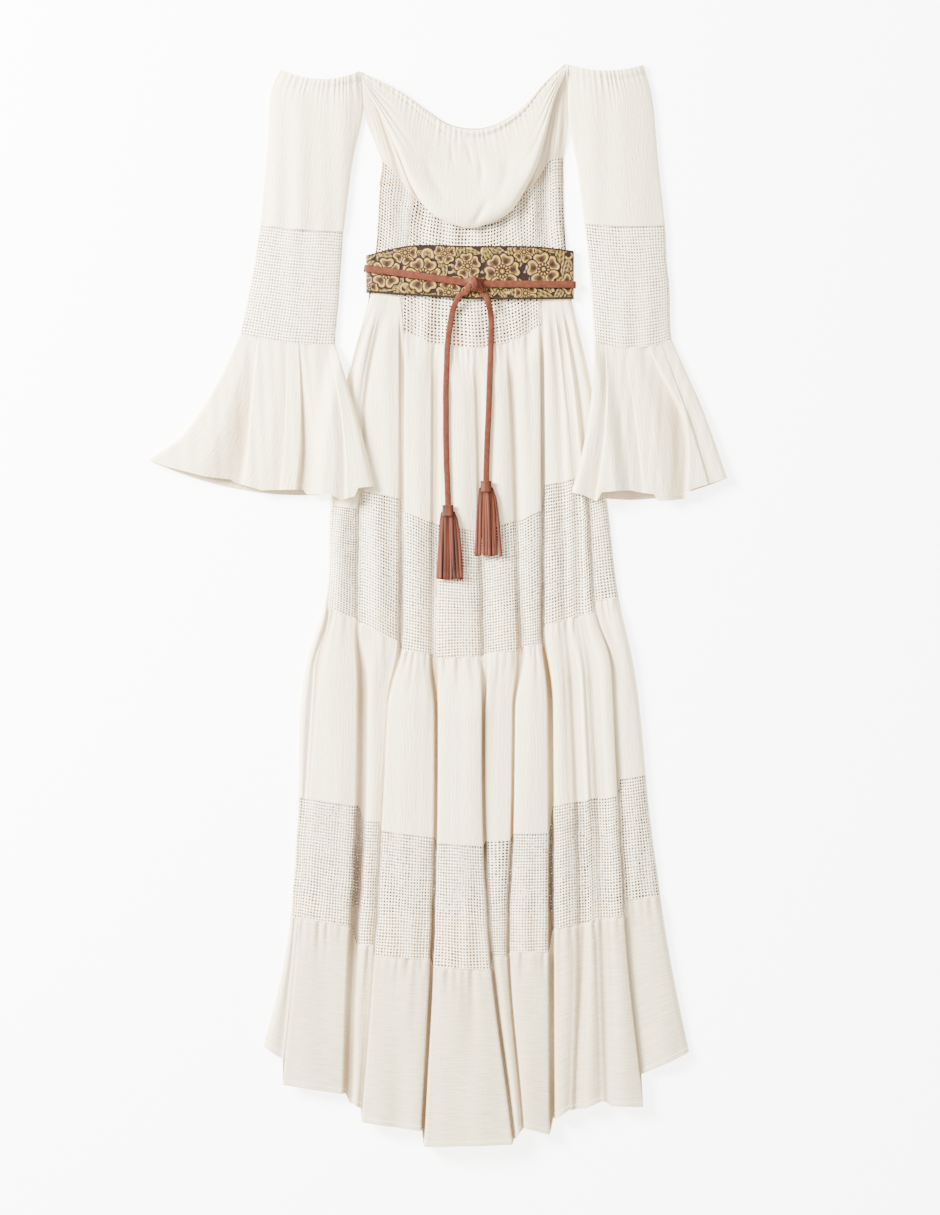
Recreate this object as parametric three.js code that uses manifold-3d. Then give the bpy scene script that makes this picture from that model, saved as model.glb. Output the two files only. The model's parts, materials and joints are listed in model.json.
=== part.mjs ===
// Off-shoulder tiered maxi dress with a tooled sash belt, laid flat on its back.
//
// Millimetres. The waist's centre on the surface is the origin, +X to the right of the laid
// dress, +Y towards the neckline, +Z up from the surface that it lies on. Each cut piece is a
// cloth wall of even thickness, worked out from the tables below.
import * as THREE from "three";
import { mergeVertices } from "three/addons/utils/BufferGeometryUtils.js";
import Module from "manifold-3d";

const wasm = await Module();
wasm.setup();

// Cloth and clearances
const CLOTH = 1.2; // wall of the gauze and of the net
const SEAM = 0.3; // space between two pieces that are sewn together
const STEEP_MARGIN = 1.6; // a seam that runs steeply gets this much more of that space
const FRONT_REST = 1.5; // the front's inside lies this high over the surface
const FRONT_BASE = FRONT_REST + CLOTH; // and its outside starts here
const COLUMN_PITCH = 10; // across the front, one column of the wall in about this width

// Waist: the belt's back lies under the dress and lifts it
const BELT_THICK = 2.0;
const WAIST_LIFT = BELT_THICK + SEAM;
const WAIST_FULL = 42; // the lift is whole up to this far from the waist line
const WAIST_GONE = 78; // and has gone here
const WAIST_PRESS = 0.8; // share of the folds' height that the belt presses out

// Gathers: every second column stands up below a gathered seam
const GATHER_HEIGHT = 2.0;
const GATHER_LENGTH = 55;
const PANEL_CROWN = 1.0;

// Levels down the skirt at which the tables give an x
const LEVELS = [-38, -125, -305, -445, -500, -740, -895, -1110];
const SIDE_LEFT = [-135.5, -161, -186, -195, -213, -231, -246, -296];
const SIDE_RIGHT = [135.5, 157, 183, 201, 213, 242, 264, 308];
// The folds deepen below the middle seam, between these two levels
const UPPER_ENDS = -440;
const LOWER_STARTS = -570;

// Folds of the front skirt. x: the fold at each level. open: width of its floor. ease: width of
// each slope. floor: height of its floor. The pairs are above and below the middle seam.
const FOLDS = [
  { x: [-130, -154, -178, -187, -203, -219, -232, -254], open: [2, 4], ease: [2, 4], floor: [4, 4.5] },
  { x: [-114, -133, -147, -149, -142, -146, -155, -163], open: [3, 11], ease: [5, 3], floor: [2.5, 3] },
  { x: [-91, -91, -91, -92, -106, -119, -127, -144], open: [6, 2], ease: [2, 2], floor: [2, 8.5] },
  { x: [-45, -44, -44, -46, -45, -46, -50, -61], open: [3, 4], ease: [6, 2], floor: [5.5, 4] },
  { x: [5, 9, 13, 17, 18, 19, 27, 53], open: [3, 3], ease: [6, 2], floor: [6.5, 5] },
  { x: [47, 53, 59, 65, 59, 56, 51, 68], open: [3, 3], ease: [6, 2], floor: [5.5, 6] },
  { x: [95, 96, 97, 97, 106, 108, 108, 109], open: [4, 6], ease: [2, 2.5], floor: [2, 3] },
  { x: [108, 116, 124, 127, 134, 144, 147, 141], open: [2, 4], ease: [2, 8], floor: [4.8, 10.5] },
  { x: [116, 128, 144, 148, 160, 172, 177, 184], open: [2, 4], ease: [3, 8], floor: [4.5, 10.5] },
  { x: [124, 140, 158, 166, 188, 200, 209, 232], open: [2, 2], ease: [2, 2], floor: [2.5, 4.5] },
];

// Panels of the front skirt, left to right, one fold between each two. The seam columns give y at
// the panel's left and right edge. high: height of its edges above and below the middle seam.
const PANELS = [
  { waist: [-19, -20], band1: [-309, -310], middle: [-443, -446], band2: [-697, -699],
    flounce: [-855, -857], hem: [-1029, -1043], high: [4, 5] },
  { waist: [-20, -25], band1: [-310, -313], middle: [-446, -458], band2: [-699, -708],
    flounce: [-857, -867], hem: [-1079, -1091], high: [5, 11] },
  { waist: [-26, -31], band1: [-289, -299], middle: [-466, -489], band2: [-728, -729],
    flounce: [-893, -893], hem: [-1105, -1109], high: [5.5, 9.5] },
  { waist: [-76, -93], band1: [-317, -330], middle: [-501, -506], band2: [-741, -749],
    flounce: [-907, -911], hem: [-1128, -1139], high: [8.5, 15] },
  { waist: [-94, -99], band1: [-334, -343], middle: [-512, -509], band2: [-757, -761],
    flounce: [-921, -925], hem: [-1160, -1157], high: [9.5, 18] },
  { waist: [-98, -92], band1: [-341, -330], middle: [-505, -501], band2: [-755, -754],
    flounce: [-908, -907], hem: [-1150, -1140], high: [9, 12] },
  { waist: [-88, -70], band1: [-328, -316], middle: [-496, -493], band2: [-745, -744],
    flounce: [-901, -901], hem: [-1136, -1144], high: [8.5, 14] },
  { waist: [-31, -28], band1: [-281, -278], middle: [-468, -461], band2: [-708, -703],
    flounce: [-871, -865], hem: [-1123, -1112], high: [5.5, 14] },
  { waist: [-27, -24], band1: [-277, -273], middle: [-460, -454], band2: [-702, -698],
    flounce: [-864, -858], hem: [-1110, -1101], high: [5, 13] },
  { waist: [-24, -21], band1: [-272, -266], middle: [-454, -449], band2: [-698, -695],
    flounce: [-857, -853], hem: [-1107, -1108], high: [5, 12.5] },
  { waist: [-21, -19], band1: [-263, -255], middle: [-435, -431], band2: [-673, -667],
    flounce: [-833, -828], hem: [-1065, -1036], high: [3.5, 6] },
];

// Tiers of the skirt, top seam to bottom seam, with the rows of each wall as shares of its length
const TIERS = [
  { node: "skirt_tier_1", cloth: "gauze", top: "waist", foot: "band1", rows: [0, 0.1, 0.35, 1], gathered: true },
  { node: "skirt_net_1", cloth: "net", top: "band1", foot: "middle", rows: [0, 0.5, 1], gathered: false },
  { node: "skirt_tier_2", cloth: "gauze", top: "middle", foot: "band2", rows: [0, 0.12, 0.4, 1], gathered: true },
  { node: "skirt_net_2", cloth: "net", top: "band2", foot: "flounce", rows: [0, 0.5, 1], gathered: false },
  { node: "hem_tier", cloth: "gauze", top: "flounce", foot: "hem", rows: [0, 0.14, 0.45, 1], gathered: true },
];

// Seams of the back, which hang higher than the front's: y at the sides and how far they sag
const BACK_SEAMS = {
  neck: { side: 118, sag: 0 }, waist: { side: -84, sag: 0 }, band1: { side: -255, sag: 18 },
  middle: { side: -431, sag: 22 }, band2: { side: -667, sag: 25 }, flounce: { side: -828, sag: 28 },
  hem: { side: -1018, sag: 70 },
};

// Bodice: side edges of the net at five levels, and the seam that joins it to the yoke
const BODICE_LEVELS = [155, 105, 36, -19, -38];
const BODICE_LEFT = [-117, -121, -125, -134, -135.5];
const BODICE_RIGHT = [124, 125, 128, 134, 135.5];
const YOKE_SEAM = [
  { x: -117, y: 151 }, { x: -96, y: 140 }, { x: -79, y: 116 }, { x: -40, y: 92 }, { x: 0, y: 83 },
  { x: 47, y: 92 }, { x: 72, y: 108 }, { x: 91, y: 127 }, { x: 105, y: 150 }, { x: 124, y: 155 },
];
const NET_FOLDS = 9; // soft upright folds across the bodice net
const NET_FOLD_HEIGHT = 2.8;

// Yoke: neckline and the lower edge of its pouch, left apex to right apex
const NECKLINE = [
  [-145, 268], [-95, 243], [-59, 217], [-28, 197], [4, 191], [29, 195], [65, 216], [100, 255], [128, 280],
];
const POUCH_EDGE = [
  [-141, 252], [-120, 212], [-96, 160], [-76, 112], [-56, 84], [-40, 72], [-4, 60], [20, 64],
  [52, 80], [72, 108], [88, 140], [100, 180], [113, 232], [126, 264],
];
const YOKE_COLUMNS = 36;
// Down the yoke: share of the way to the pouch's edge, height at the centre and at the two ends
const YOKE_PROFILE = [
  { share: 0, centre: 7.5, end: 9.2 }, { share: 0.04, centre: 9, end: 10.4 },
  { share: 0.09, centre: 7.8, end: 10.2 }, { share: 0.35, centre: 12, end: 10.6 },
  { share: 0.65, centre: 17, end: 10.8 }, { share: 0.9, centre: 20, end: 10.6 },
  { share: 1, centre: 13, end: 8.2 }, { share: 0.955, centre: 7.6, end: 6.4 },
  { share: 0.87, centre: 6.9, end: 6.2 },
];
const YOKE_GATHER = 1.4;
const APEX_LEFT = { x: -143.2, y: 262 };
const APEX_RIGHT = { x: 126.6, y: 270 };
const APEX_BUNDLE = 2; // the cloth bundled at each apex lifts them by this
const SIDE_PLEAT = 1.6; // the pleats that fan from each apex
const SIDE_COVERED = { left: -62, right: 84 }; // the side stretches run this far under the pouch
// The yoke's outer edges beside the sleeves, from the apex down to the net
const YOKE_LEFT = [[-145, 266], [-142, 218], [-117.5, 152], [-121, 118]];
const YOKE_RIGHT = [[128, 278], [131, 204], [125, 154], [125, 118]];

// Sleeves. outer and inner are the edges from top to bottom; sag is how far each level's middle
// hangs under its ends, for the upper layer; lower_sag is the same for the layer beneath.
const SLEEVES = {
  left: {
    upper: { a: [[-253, 272], [-265, 245], [-270, 169], [-280, 65]],
      b: [[-145.9, 270], [-142.4, 218], [-156, 149], [-168, 56]], sag: [14, 3], lower_sag: [3, 3] },
    net: { a: [[-280, 65], [-292, -8], [-307, -81]], b: [[-168, 56], [-173, -20], [-179, -95]],
      sag: [3, 4], lower_sag: [3, 4] },
    flounce: { a: [[-307, -81], [-325, -122], [-350, -167], [-384, -215], [-429, -248]],
      b: [[-179, -95], [-164, -143], [-150, -190], [-137, -240], [-127, -284]],
      sag: [4, 30], lower_sag: [4, 26] },
  },
  right: {
    upper: { a: [[129.2, 279], [131.8, 204], [143, 141], [152, 67]],
      b: [[231, 278], [242, 240], [251, 150], [260, 65]], sag: [10, 4], lower_sag: [2, 4] },
    net: { a: [[152, 67], [160, -10], [165, -92]], b: [[260, 65], [265, -10], [269, -88]],
      sag: [4, 9], lower_sag: [4, 9] },
    flounce: { a: [[165, -92], [163, -142], [158, -190], [148, -243], [135, -292]],
      b: [[269, -88], [286, -126], [306, -170], [325, -220], [343, -272]],
      sag: [9, 22], lower_sag: [9, 18] },
  },
};
const SLEEVE_EDGE = 4.2; // height of a sleeve's rounded side
const SLEEVE_CROWN = { upper: 9, net: 7, flounce: 6 };
const SLEEVE_COLUMNS = { upper: 14, net: 14, flounce: 23 };
const SLEEVE_ROWS = { upper: [0, 0.06, 0.35, 0.7, 1], net: [0, 0.5, 1], flounce: [0, 0.15, 0.5, 1] };
const SLEEVE_GATHER = 1.2;
const FLOUNCE_WAVE = 7;
const FLOUNCE_SCALLOP = 5; // the hem dips between its waves
// Crests of the flounce's folds as shares of its width, with how deep the trough beside each is
const FLOUNCE_FOLDS = {
  left: [{ at: 0.07, deep: 0.5 }, { at: 0.27, deep: 0.7 }, { at: 0.47, deep: 0.8 }, { at: 0.68, deep: 1 },
    { at: 0.9, deep: 0.8 }],
  right: [{ at: 0.08, deep: 0.7 }, { at: 0.3, deep: 1 }, { at: 0.52, deep: 0.7 }, { at: 0.74, deep: 0.9 },
    { at: 0.93, deep: 0.5 }],
};
const OVER_SKIRT = 10.2; // the flounces climb this high over the skirt's edge
const CLIMB_FROM = 34; // starting this far outside it
const CLIMB_TO = 9;

// Belt and tie
const BELT_HALF = 138.7;
const BELT_TOP = [[-138.7, 24], [-89, 35.5], [4, 36], [99, 34.7], [138.7, 30]];
const BELT_FOOT = [[-138.7, -25.3], [-63, -30.7], [4, -34.7], [80, -35], [138.7, -34]];
const BELT_WALL = 2.2;
const BELT_REST = 9.4; // outside of the front near its ends
const BELT_CROWN = 3.6;
const BELT_TURN = [{ x: 0, z: 2.5 }, { x: 0, z: 6.2 }, { x: 0.8, z: 8.4 }, { x: 3, z: 9.6 }];
const BELT_STEPS = 14;
const LACE_WIDTH = 9.6;
const LACE_THICK = 2.4;
const TIE_KNOT = { x: 5, y: -15, half: 10, thick: 12 };
const TIE_LEFT_END = 6.5; // y where the left lace leaves round the belt's end
const TIE_RIGHT_END = -15.5;
const TAIL_WIDTH = 8;
const TAIL_THICK = 2.6;
const TAILS = {
  left: [[-4, -25.6], [-12, -29], [-18, -38], [-23, -50], [-27, -72], [-30, -96], [-31, -123], [-32, -152],
    [-32, -182], [-32, -212], [-31.5, -242], [-30.5, -272], [-29.5, -296], [-29.3, -308.6]],
  right: [[13, -25.6], [20, -30], [25, -42], [27.5, -58], [28, -78], [27.5, -100], [26.5, -128], [25.5, -158],
    [24.5, -188], [23, -218], [22, -248], [21.5, -266], [21.3, -276.6]],
};
const TAIL_STEPS = 30;
const TASSELS = {
  left: { x: -29.3, y: -309, foot_x: -26.7, foot_y: -408 },
  right: { x: 21.3, y: -277, foot_x: 24.2, foot_y: -377 },
};
const TASSEL_HEAD = { half: 9.2, long: 11, thick: 9 };
const TASSEL_STRANDS = 11; // in each of two layers
const TASSEL_SPREAD = 18.5;
const STRAND = { root: 1.15, tip: 2.7, thick: 1.3 };

// Colours
const MATERIALS = {
  gauze: new THREE.MeshStandardMaterial({ name: "gauze", color: "#f1ece3", roughness: 0.95, metalness: 0 }),
  net: new THREE.MeshStandardMaterial({ name: "net", color: "#ebe3d6", roughness: 0.95, metalness: 0 }),
  belt: new THREE.MeshStandardMaterial({ name: "belt", color: "#8f7350", roughness: 0.6, metalness: 0.1 }),
  lace: new THREE.MeshStandardMaterial({ name: "lace", color: "#9a5f48", roughness: 0.7, metalness: 0 }),
};

const dress = new THREE.Group();
dress.name = "maxi_dress";

function add(name, material, geometry) {
  const mesh = new THREE.Mesh(geometry, MATERIALS[material]);
  mesh.name = name;
  dress.add(mesh);
}

const lerp = (from, to, share) => from + (to - from) * share;

function ramp(share) {
  const t = Math.min(1, Math.max(0, share));
  return t * t * (3 - 2 * t);
}

// Value at a level that falls between two rows of a table whose levels run downwards
function atLevel(levels, values, y) {
  const last = levels.length - 1;
  let i = 0;
  while (i < last - 1 && y < levels[i + 1]) i += 1;
  return lerp(values[i], values[i + 1], (levels[i] - y) / (levels[i] - levels[i + 1]));
}

function heightAlong(table, x) {
  let i = 0;
  while (i < table.length - 2 && x > table[i + 1].x) i += 1;
  const [from, to] = [table[i], table[i + 1]];
  return lerp(from.y, to.y, (x - from.x) / (to.x - from.x));
}

function spline(points) {
  return new THREE.CatmullRomCurve3(points.map(([x, y]) => new THREE.Vector3(x, y, 0)), false, "centripetal");
}

function waistBump(y) {
  return 1 - ramp((Math.abs(y) - WAIST_FULL) / (WAIST_GONE - WAIST_FULL));
}

// Turns a grid of points on a piece's outside into a closed wall. Rows run from the top of the
// piece to its foot and columns from its left to its right; a ring's columns close on themselves.
function wall(grid, { thick = CLOTH, ring = false } = {}) {
  const rows = grid.length;
  const columns = grid[0].length;
  const at = (r, c) => grid[r][ring ? (c + columns) % columns : Math.min(columns - 1, Math.max(0, c))];
  const outer = [];
  const inner = [];
  for (let r = 0; r < rows; r += 1) {
    for (let c = 0; c < columns; c += 1) {
      const down = at(Math.min(rows - 1, r + 1), c).clone().sub(at(Math.max(0, r - 1), c));
      if (r === 0 || r === rows - 1) down.set(0, Math.sign(down.y), 0);
      const across = unitSum(at(r, c - 1), at(r, c), at(r, c + 1));
      const normal = down.cross(across).normalize();
      outer.push(at(r, c));
      inner.push(at(r, c).clone().addScaledVector(normal, -thick));
    }
  }
  const positions = [];
  for (const point of [...outer, ...inner]) positions.push(point.x, point.y, point.z);
  const index = [];
  const shift = outer.length;
  const quad = (a, b, c, d) => index.push(a, b, c, a, c, d);
  const spans = ring ? columns : columns - 1;
  for (let r = 0; r < rows - 1; r += 1) {
    for (let c = 0; c < spans; c += 1) {
      const [a, b] = [r * columns + c, r * columns + ((c + 1) % columns)];
      quad(a, a + columns, b + columns, b);
      quad(shift + a, shift + b, shift + b + columns, shift + a + columns);
    }
  }
  for (let c = 0; c < spans; c += 1) {
    const next = (c + 1) % columns;
    const foot = (rows - 1) * columns;
    quad(c, next, shift + next, shift + c);
    quad(foot + next, foot + c, shift + foot + c, shift + foot + next);
  }
  for (let r = 0; r < rows - 1 && !ring; r += 1) {
    const left = r * columns;
    const right = left + columns - 1;
    quad(left + columns, left, shift + left, shift + left + columns);
    quad(right, right + columns, shift + right + columns, shift + right);
  }
  const geometry = new THREE.BufferGeometry();
  geometry.setAttribute("position", new THREE.Float32BufferAttribute(positions, 3));
  geometry.setIndex(index);
  geometry.computeVertexNormals();
  return geometry;
}

// Direction across a column, from both of its sides alike whatever their lengths
function unitSum(before, here, after) {
  const sum = new THREE.Vector3();
  if (before !== here) sum.add(here.clone().sub(before).normalize());
  if (after !== here) sum.add(after.clone().sub(here).normalize());
  return sum;
}

// Front skirt: its columns, each on a panel or on a fold
function skirtColumns() {
  const columns = [];
  const wide = LEVELS.indexOf(-740);
  PANELS.forEach((panel, p) => {
    const from = p === 0 ? SIDE_LEFT[wide] : FOLDS[p - 1].x[wide];
    const to = p === FOLDS.length ? SIDE_RIGHT[wide] : FOLDS[p].x[wide];
    const steps = Math.max(2, Math.round((to - from) / COLUMN_PITCH));
    for (let i = 0; i <= steps; i += 1) columns.push({ panel: p, share: i / steps, odd: i % 2 });
    if (p < FOLDS.length) {
      columns.push({ fold: p, side: -1 });
      columns.push({ fold: p, side: 1 });
    }
  });
  return columns;
}

const COLUMNS = skirtColumns();

// Share of the way from the upper folds to the lower ones
function lowerShare(y) {
  return ramp((UPPER_ENDS - y) / (UPPER_ENDS - LOWER_STARTS));
}

function foldAt(fold, y) {
  const low = lowerShare(y);
  return {
    x: atLevel(LEVELS, fold.x, y),
    open: lerp(...fold.open, low),
    ease: lerp(...fold.ease, low),
    floor: lerp(...fold.floor, low),
  };
}

// Where a column of the skirt is at a level: its x and how high its folds stand there
function skirtSection(column, y) {
  if (column.fold !== undefined) {
    const fold = foldAt(FOLDS[column.fold], y);
    return { x: fold.x + (column.side * fold.open) / 2, rise: fold.floor };
  }
  const p = column.panel;
  let from = atLevel(LEVELS, SIDE_LEFT, y);
  let to = atLevel(LEVELS, SIDE_RIGHT, y);
  if (p > 0) {
    const fold = foldAt(FOLDS[p - 1], y);
    from = fold.x + fold.open / 2 + fold.ease;
  }
  if (p < FOLDS.length) {
    const fold = foldAt(FOLDS[p], y);
    to = fold.x - fold.open / 2 - fold.ease;
  }
  const crown = 4 * PANEL_CROWN * column.share * (1 - column.share);
  let rise = lerp(...PANELS[p].high, lowerShare(y)) + crown;
  if ((p === 0 && column.share === 0) || (p === FOLDS.length && column.share === 1)) rise = 0;
  return { x: lerp(from, to, column.share), rise };
}

function seamOf(column, seam) {
  if (column.fold !== undefined) {
    const share = column.side < 0 ? 1 / 3 : 2 / 3;
    return lerp(PANELS[column.fold][seam][1], PANELS[column.fold + 1][seam][0], share);
  }
  return lerp(...PANELS[column.panel][seam], column.share);
}

// Downward space under a seam at a column that keeps the two walls SEAM apart where it runs steeply
function seamGap(index, seam) {
  const around = [index - 1, index, index + 1].filter((i) => i >= 0 && i < COLUMNS.length);
  const points = around.map((i) => {
    const y = seamOf(COLUMNS[i], seam);
    return { x: skirtSection(COLUMNS[i], y).x, y };
  });
  let steepest = 0;
  for (let i = 1; i < points.length; i += 1) {
    const across = Math.max(0.5, points[i].x - points[i - 1].x);
    steepest = Math.max(steepest, Math.abs(points[i].y - points[i - 1].y) / across);
  }
  return SEAM * Math.hypot(1, STEEP_MARGIN * steepest);
}

function bodiceShare(column) {
  const y = LEVELS[0];
  const [left, right] = [atLevel(LEVELS, SIDE_LEFT, y), atLevel(LEVELS, SIDE_RIGHT, y)];
  return (skirtSection(column, y).x - left) / (right - left);
}

function netRise(column) {
  const share = bodiceShare(column);
  const edge = Math.min(1, share / 0.03, (1 - share) / 0.03);
  return (edge * NET_FOLD_HEIGHT * (1 - Math.cos(2 * Math.PI * NET_FOLDS * share))) / 2 + edge;
}

// Height of the front's outside, with the belt's lift under it and the belt's press on it
function frontHeight(rise, y) {
  const bump = waistBump(y);
  return FRONT_BASE + WAIST_LIFT * bump + rise * (1 - WAIST_PRESS * bump);
}

// Across the front above the skirt's first level, the columns follow the bodice's own edges
function frontX(column, y) {
  const x = skirtSection(column, y).x;
  const lowest = BODICE_LEVELS[BODICE_LEVELS.length - 1];
  if (y < lowest) return x;
  const [left, right] = [atLevel(BODICE_LEVELS, BODICE_LEFT, y), atLevel(BODICE_LEVELS, BODICE_RIGHT, y)];
  return lerp(x, lerp(left, right, bodiceShare(column)), ramp((y - lowest) / 40));
}

function skirtPoint(column, y) {
  const { rise } = skirtSection(column, y);
  const x = frontX(column, y);
  const below = ramp((seamOf(column, "waist") - y) / GATHER_LENGTH);
  return new THREE.Vector3(x, y, frontHeight(lerp(netRise(column), rise, below), y));
}

function gatherAt(column, y, seam) {
  const down = (seamOf(column, seam) - y) / GATHER_LENGTH;
  return column.odd ? GATHER_HEIGHT * (1 - ramp(down)) * ramp(8 * down) : 0;
}

function skirtFront({ node, cloth, top, foot, rows, gathered }) {
  const grid = rows.map((share) => COLUMNS.map((column, i) => {
    const y = lerp(seamOf(column, top) - seamGap(i, top), seamOf(column, foot), share);
    const point = skirtPoint(column, y);
    if (gathered) point.z += gatherAt(column, y, top) * (1 - WAIST_PRESS * waistBump(y));
    return point;
  }));
  add(`${node}_front`, cloth, wall(grid));
}

function backSeam(seam, x) {
  const { side, sag } = BACK_SEAMS[seam];
  const half = x < 0 ? atLevel(LEVELS, SIDE_LEFT, side) : atLevel(LEVELS, SIDE_RIGHT, side);
  return side - sag * (1 - (x / half) ** 2);
}

function skirtBack({ node, cloth, top, foot }) {
  const [columns, rows] = [12, 3];
  const grid = [];
  for (let r = 0; r <= rows; r += 1) {
    const row = [];
    for (let c = 0; c <= columns; c += 1) {
      const level = lerp(BACK_SEAMS[top].side - SEAM, BACK_SEAMS[foot].side, r / rows);
      const x = lerp(atLevel(LEVELS, SIDE_LEFT, level), atLevel(LEVELS, SIDE_RIGHT, level), c / columns);
      const y = lerp(backSeam(top, x) - SEAM, backSeam(foot, x), r / rows);
      row.push(new THREE.Vector3(x, y, CLOTH));
    }
    grid.push(row);
  }
  add(`${node}_back`, cloth, wall(grid));
}

// Bodice net: it hangs from the yoke seam and shares the skirt's columns at the waist seam
function yokeSeamPoint(column) {
  const share = bodiceShare(column);
  const x = lerp(YOKE_SEAM[0].x, YOKE_SEAM[YOKE_SEAM.length - 1].x, share);
  return { x, y: heightAlong(YOKE_SEAM, x) };
}

function bodiceNetFront() {
  const grid = [[], [], [], [], []];
  for (const column of COLUMNS) {
    const top = yokeSeamPoint(column);
    const seam = seamOf(column, "waist");
    const underBelt = Math.max(-WAIST_FULL, lerp(WAIST_FULL, seam, 0.85));
    [top.y, WAIST_GONE, WAIST_FULL, underBelt, seam].forEach((y, r) => {
      const x = r === 0 ? top.x : frontX(column, y);
      grid[r].push(new THREE.Vector3(x, y, frontHeight(netRise(column), y)));
    });
  }
  add("bodice_net_front", "net", wall(grid));
}

function bodiceNetBack() {
  const levels = [BACK_SEAMS.neck.side - SEAM, WAIST_GONE, 60, WAIST_FULL, -WAIST_FULL, -60, -WAIST_GONE,
    BACK_SEAMS.waist.side];
  const columns = 10;
  const grid = levels.map((y) => {
    const narrow = y > LEVELS[0];
    const left = narrow ? atLevel(BODICE_LEVELS, BODICE_LEFT, y) : atLevel(LEVELS, SIDE_LEFT, y);
    const right = narrow ? atLevel(BODICE_LEVELS, BODICE_RIGHT, y) : atLevel(LEVELS, SIDE_RIGHT, y);
    const row = [];
    for (let c = 0; c <= columns; c += 1) {
      row.push(new THREE.Vector3(lerp(left, right, c / columns), y, CLOTH + WAIST_LIFT * waistBump(y)));
    }
    return row;
  });
  add("bodice_net_back", "net", wall(grid));
}

// Yoke: the gathered front whose pouch hangs over the net and turns under
function yokeFront() {
  const neck = spline(NECKLINE);
  const edge = spline(POUCH_EDGE);
  const grid = YOKE_PROFILE.map(({ share, centre, end }) => {
    const row = [];
    for (let c = 0; c <= YOKE_COLUMNS; c += 1) {
      const u = c / YOKE_COLUMNS;
      const point = neck.getPointAt(u).lerp(edge.getPointAt(u), share);
      const full = ramp(Math.min(u, 1 - u) / 0.28);
      const gather = c % 2 ? YOKE_GATHER * ramp(1 - share / 0.5) * full : 0;
      point.z = lerp(end, centre, full) + gather;
      row.push(point);
    }
    return row;
  });
  add("yoke_front", "gauze", wall(grid));
}

// The stretch of the same front that lies flat beside the pouch, with pleats fanning from the apex
function yokeSide(name, apex, outerEdge, covered) {
  const leftSide = apex.x < 0;
  const under = COLUMNS.map((column) => ({ ...yokeSeamPoint(column), rise: netRise(column) }))
    .filter(({ x }) => (leftSide ? x <= covered : x >= covered));
  const edge = spline(outerEdge.slice(0, 3));
  const fan = 9;
  const rows = [0, 0.35, 0.7, 1];
  const grid = rows.map((share) => under.map((foot, c) => {
    const across = c / (under.length - 1);
    const fromApex = apex.x + (across - (leftSide ? 0 : 1)) * fan;
    const outermost = leftSide ? c === 0 : c === under.length - 1;
    let x = lerp(fromApex, foot.x, share);
    let y = lerp(apex.y, foot.y + SEAM, share);
    if (outermost && share < 1) {
      const point = edge.getPointAt(0.04 + 0.96 * share);
      x = point.x;
      y = point.y;
    }
    const pleat = c % 2 ? SIDE_PLEAT * ramp(share) * ramp((1 - share) * 4) : 0;
    return new THREE.Vector3(x, y, FRONT_BASE + lerp(APEX_BUNDLE, foot.rise, ramp(share)) + pleat);
  }));
  add(name, "gauze", wall(grid));
}

function yokeBack() {
  const neck = spline(NECKLINE);
  const [left, right] = [spline(YOKE_LEFT), spline(YOKE_RIGHT)];
  const [columns, rows] = [20, 3];
  const foot = BACK_SEAMS.neck.side;
  const grid = [];
  for (let r = 0; r <= rows; r += 1) {
    const v = r / rows;
    const [a, b] = [left.getPointAt(v), right.getPointAt(v)];
    const row = [];
    for (let c = 0; c <= columns; c += 1) {
      const u = c / columns;
      const top = neck.getPointAt(u);
      const between = a.clone().lerp(b, u);
      const chord = left.getPointAt(0).lerp(right.getPointAt(0), u);
      const sag = top.sub(chord).multiplyScalar(1 - v);
      sag.y += 3 * Math.sin(Math.PI * u) * (1 - v);
      const footLine = (foot - lerp(left.getPointAt(1).y, right.getPointAt(1).y, u)) * v;
      row.push(new THREE.Vector3(between.x + sag.x, between.y + sag.y + footLine, CLOTH));
    }
    grid.push(row);
  }
  add("yoke_back", "gauze", wall(grid));
}

// How high a sleeve must lie at a point so as to clear the skirt's edge beneath it
function overSkirt(x, y) {
  const level = Math.min(LEVELS[0], y);
  const outside = x < 0 ? atLevel(LEVELS, SIDE_LEFT, level) - x : x - atLevel(LEVELS, SIDE_RIGHT, level);
  const reach = ramp((CLIMB_FROM - outside) / (CLIMB_FROM - CLIMB_TO));
  return OVER_SKIRT * reach * ramp((-60 - y) / 60);
}

function flounceWave(folds, u) {
  let height = 0;
  for (const { at, deep } of folds) height = Math.max(height, deep * Math.exp(-(((u - at) / 0.075) ** 2)));
  return height;
}

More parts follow.
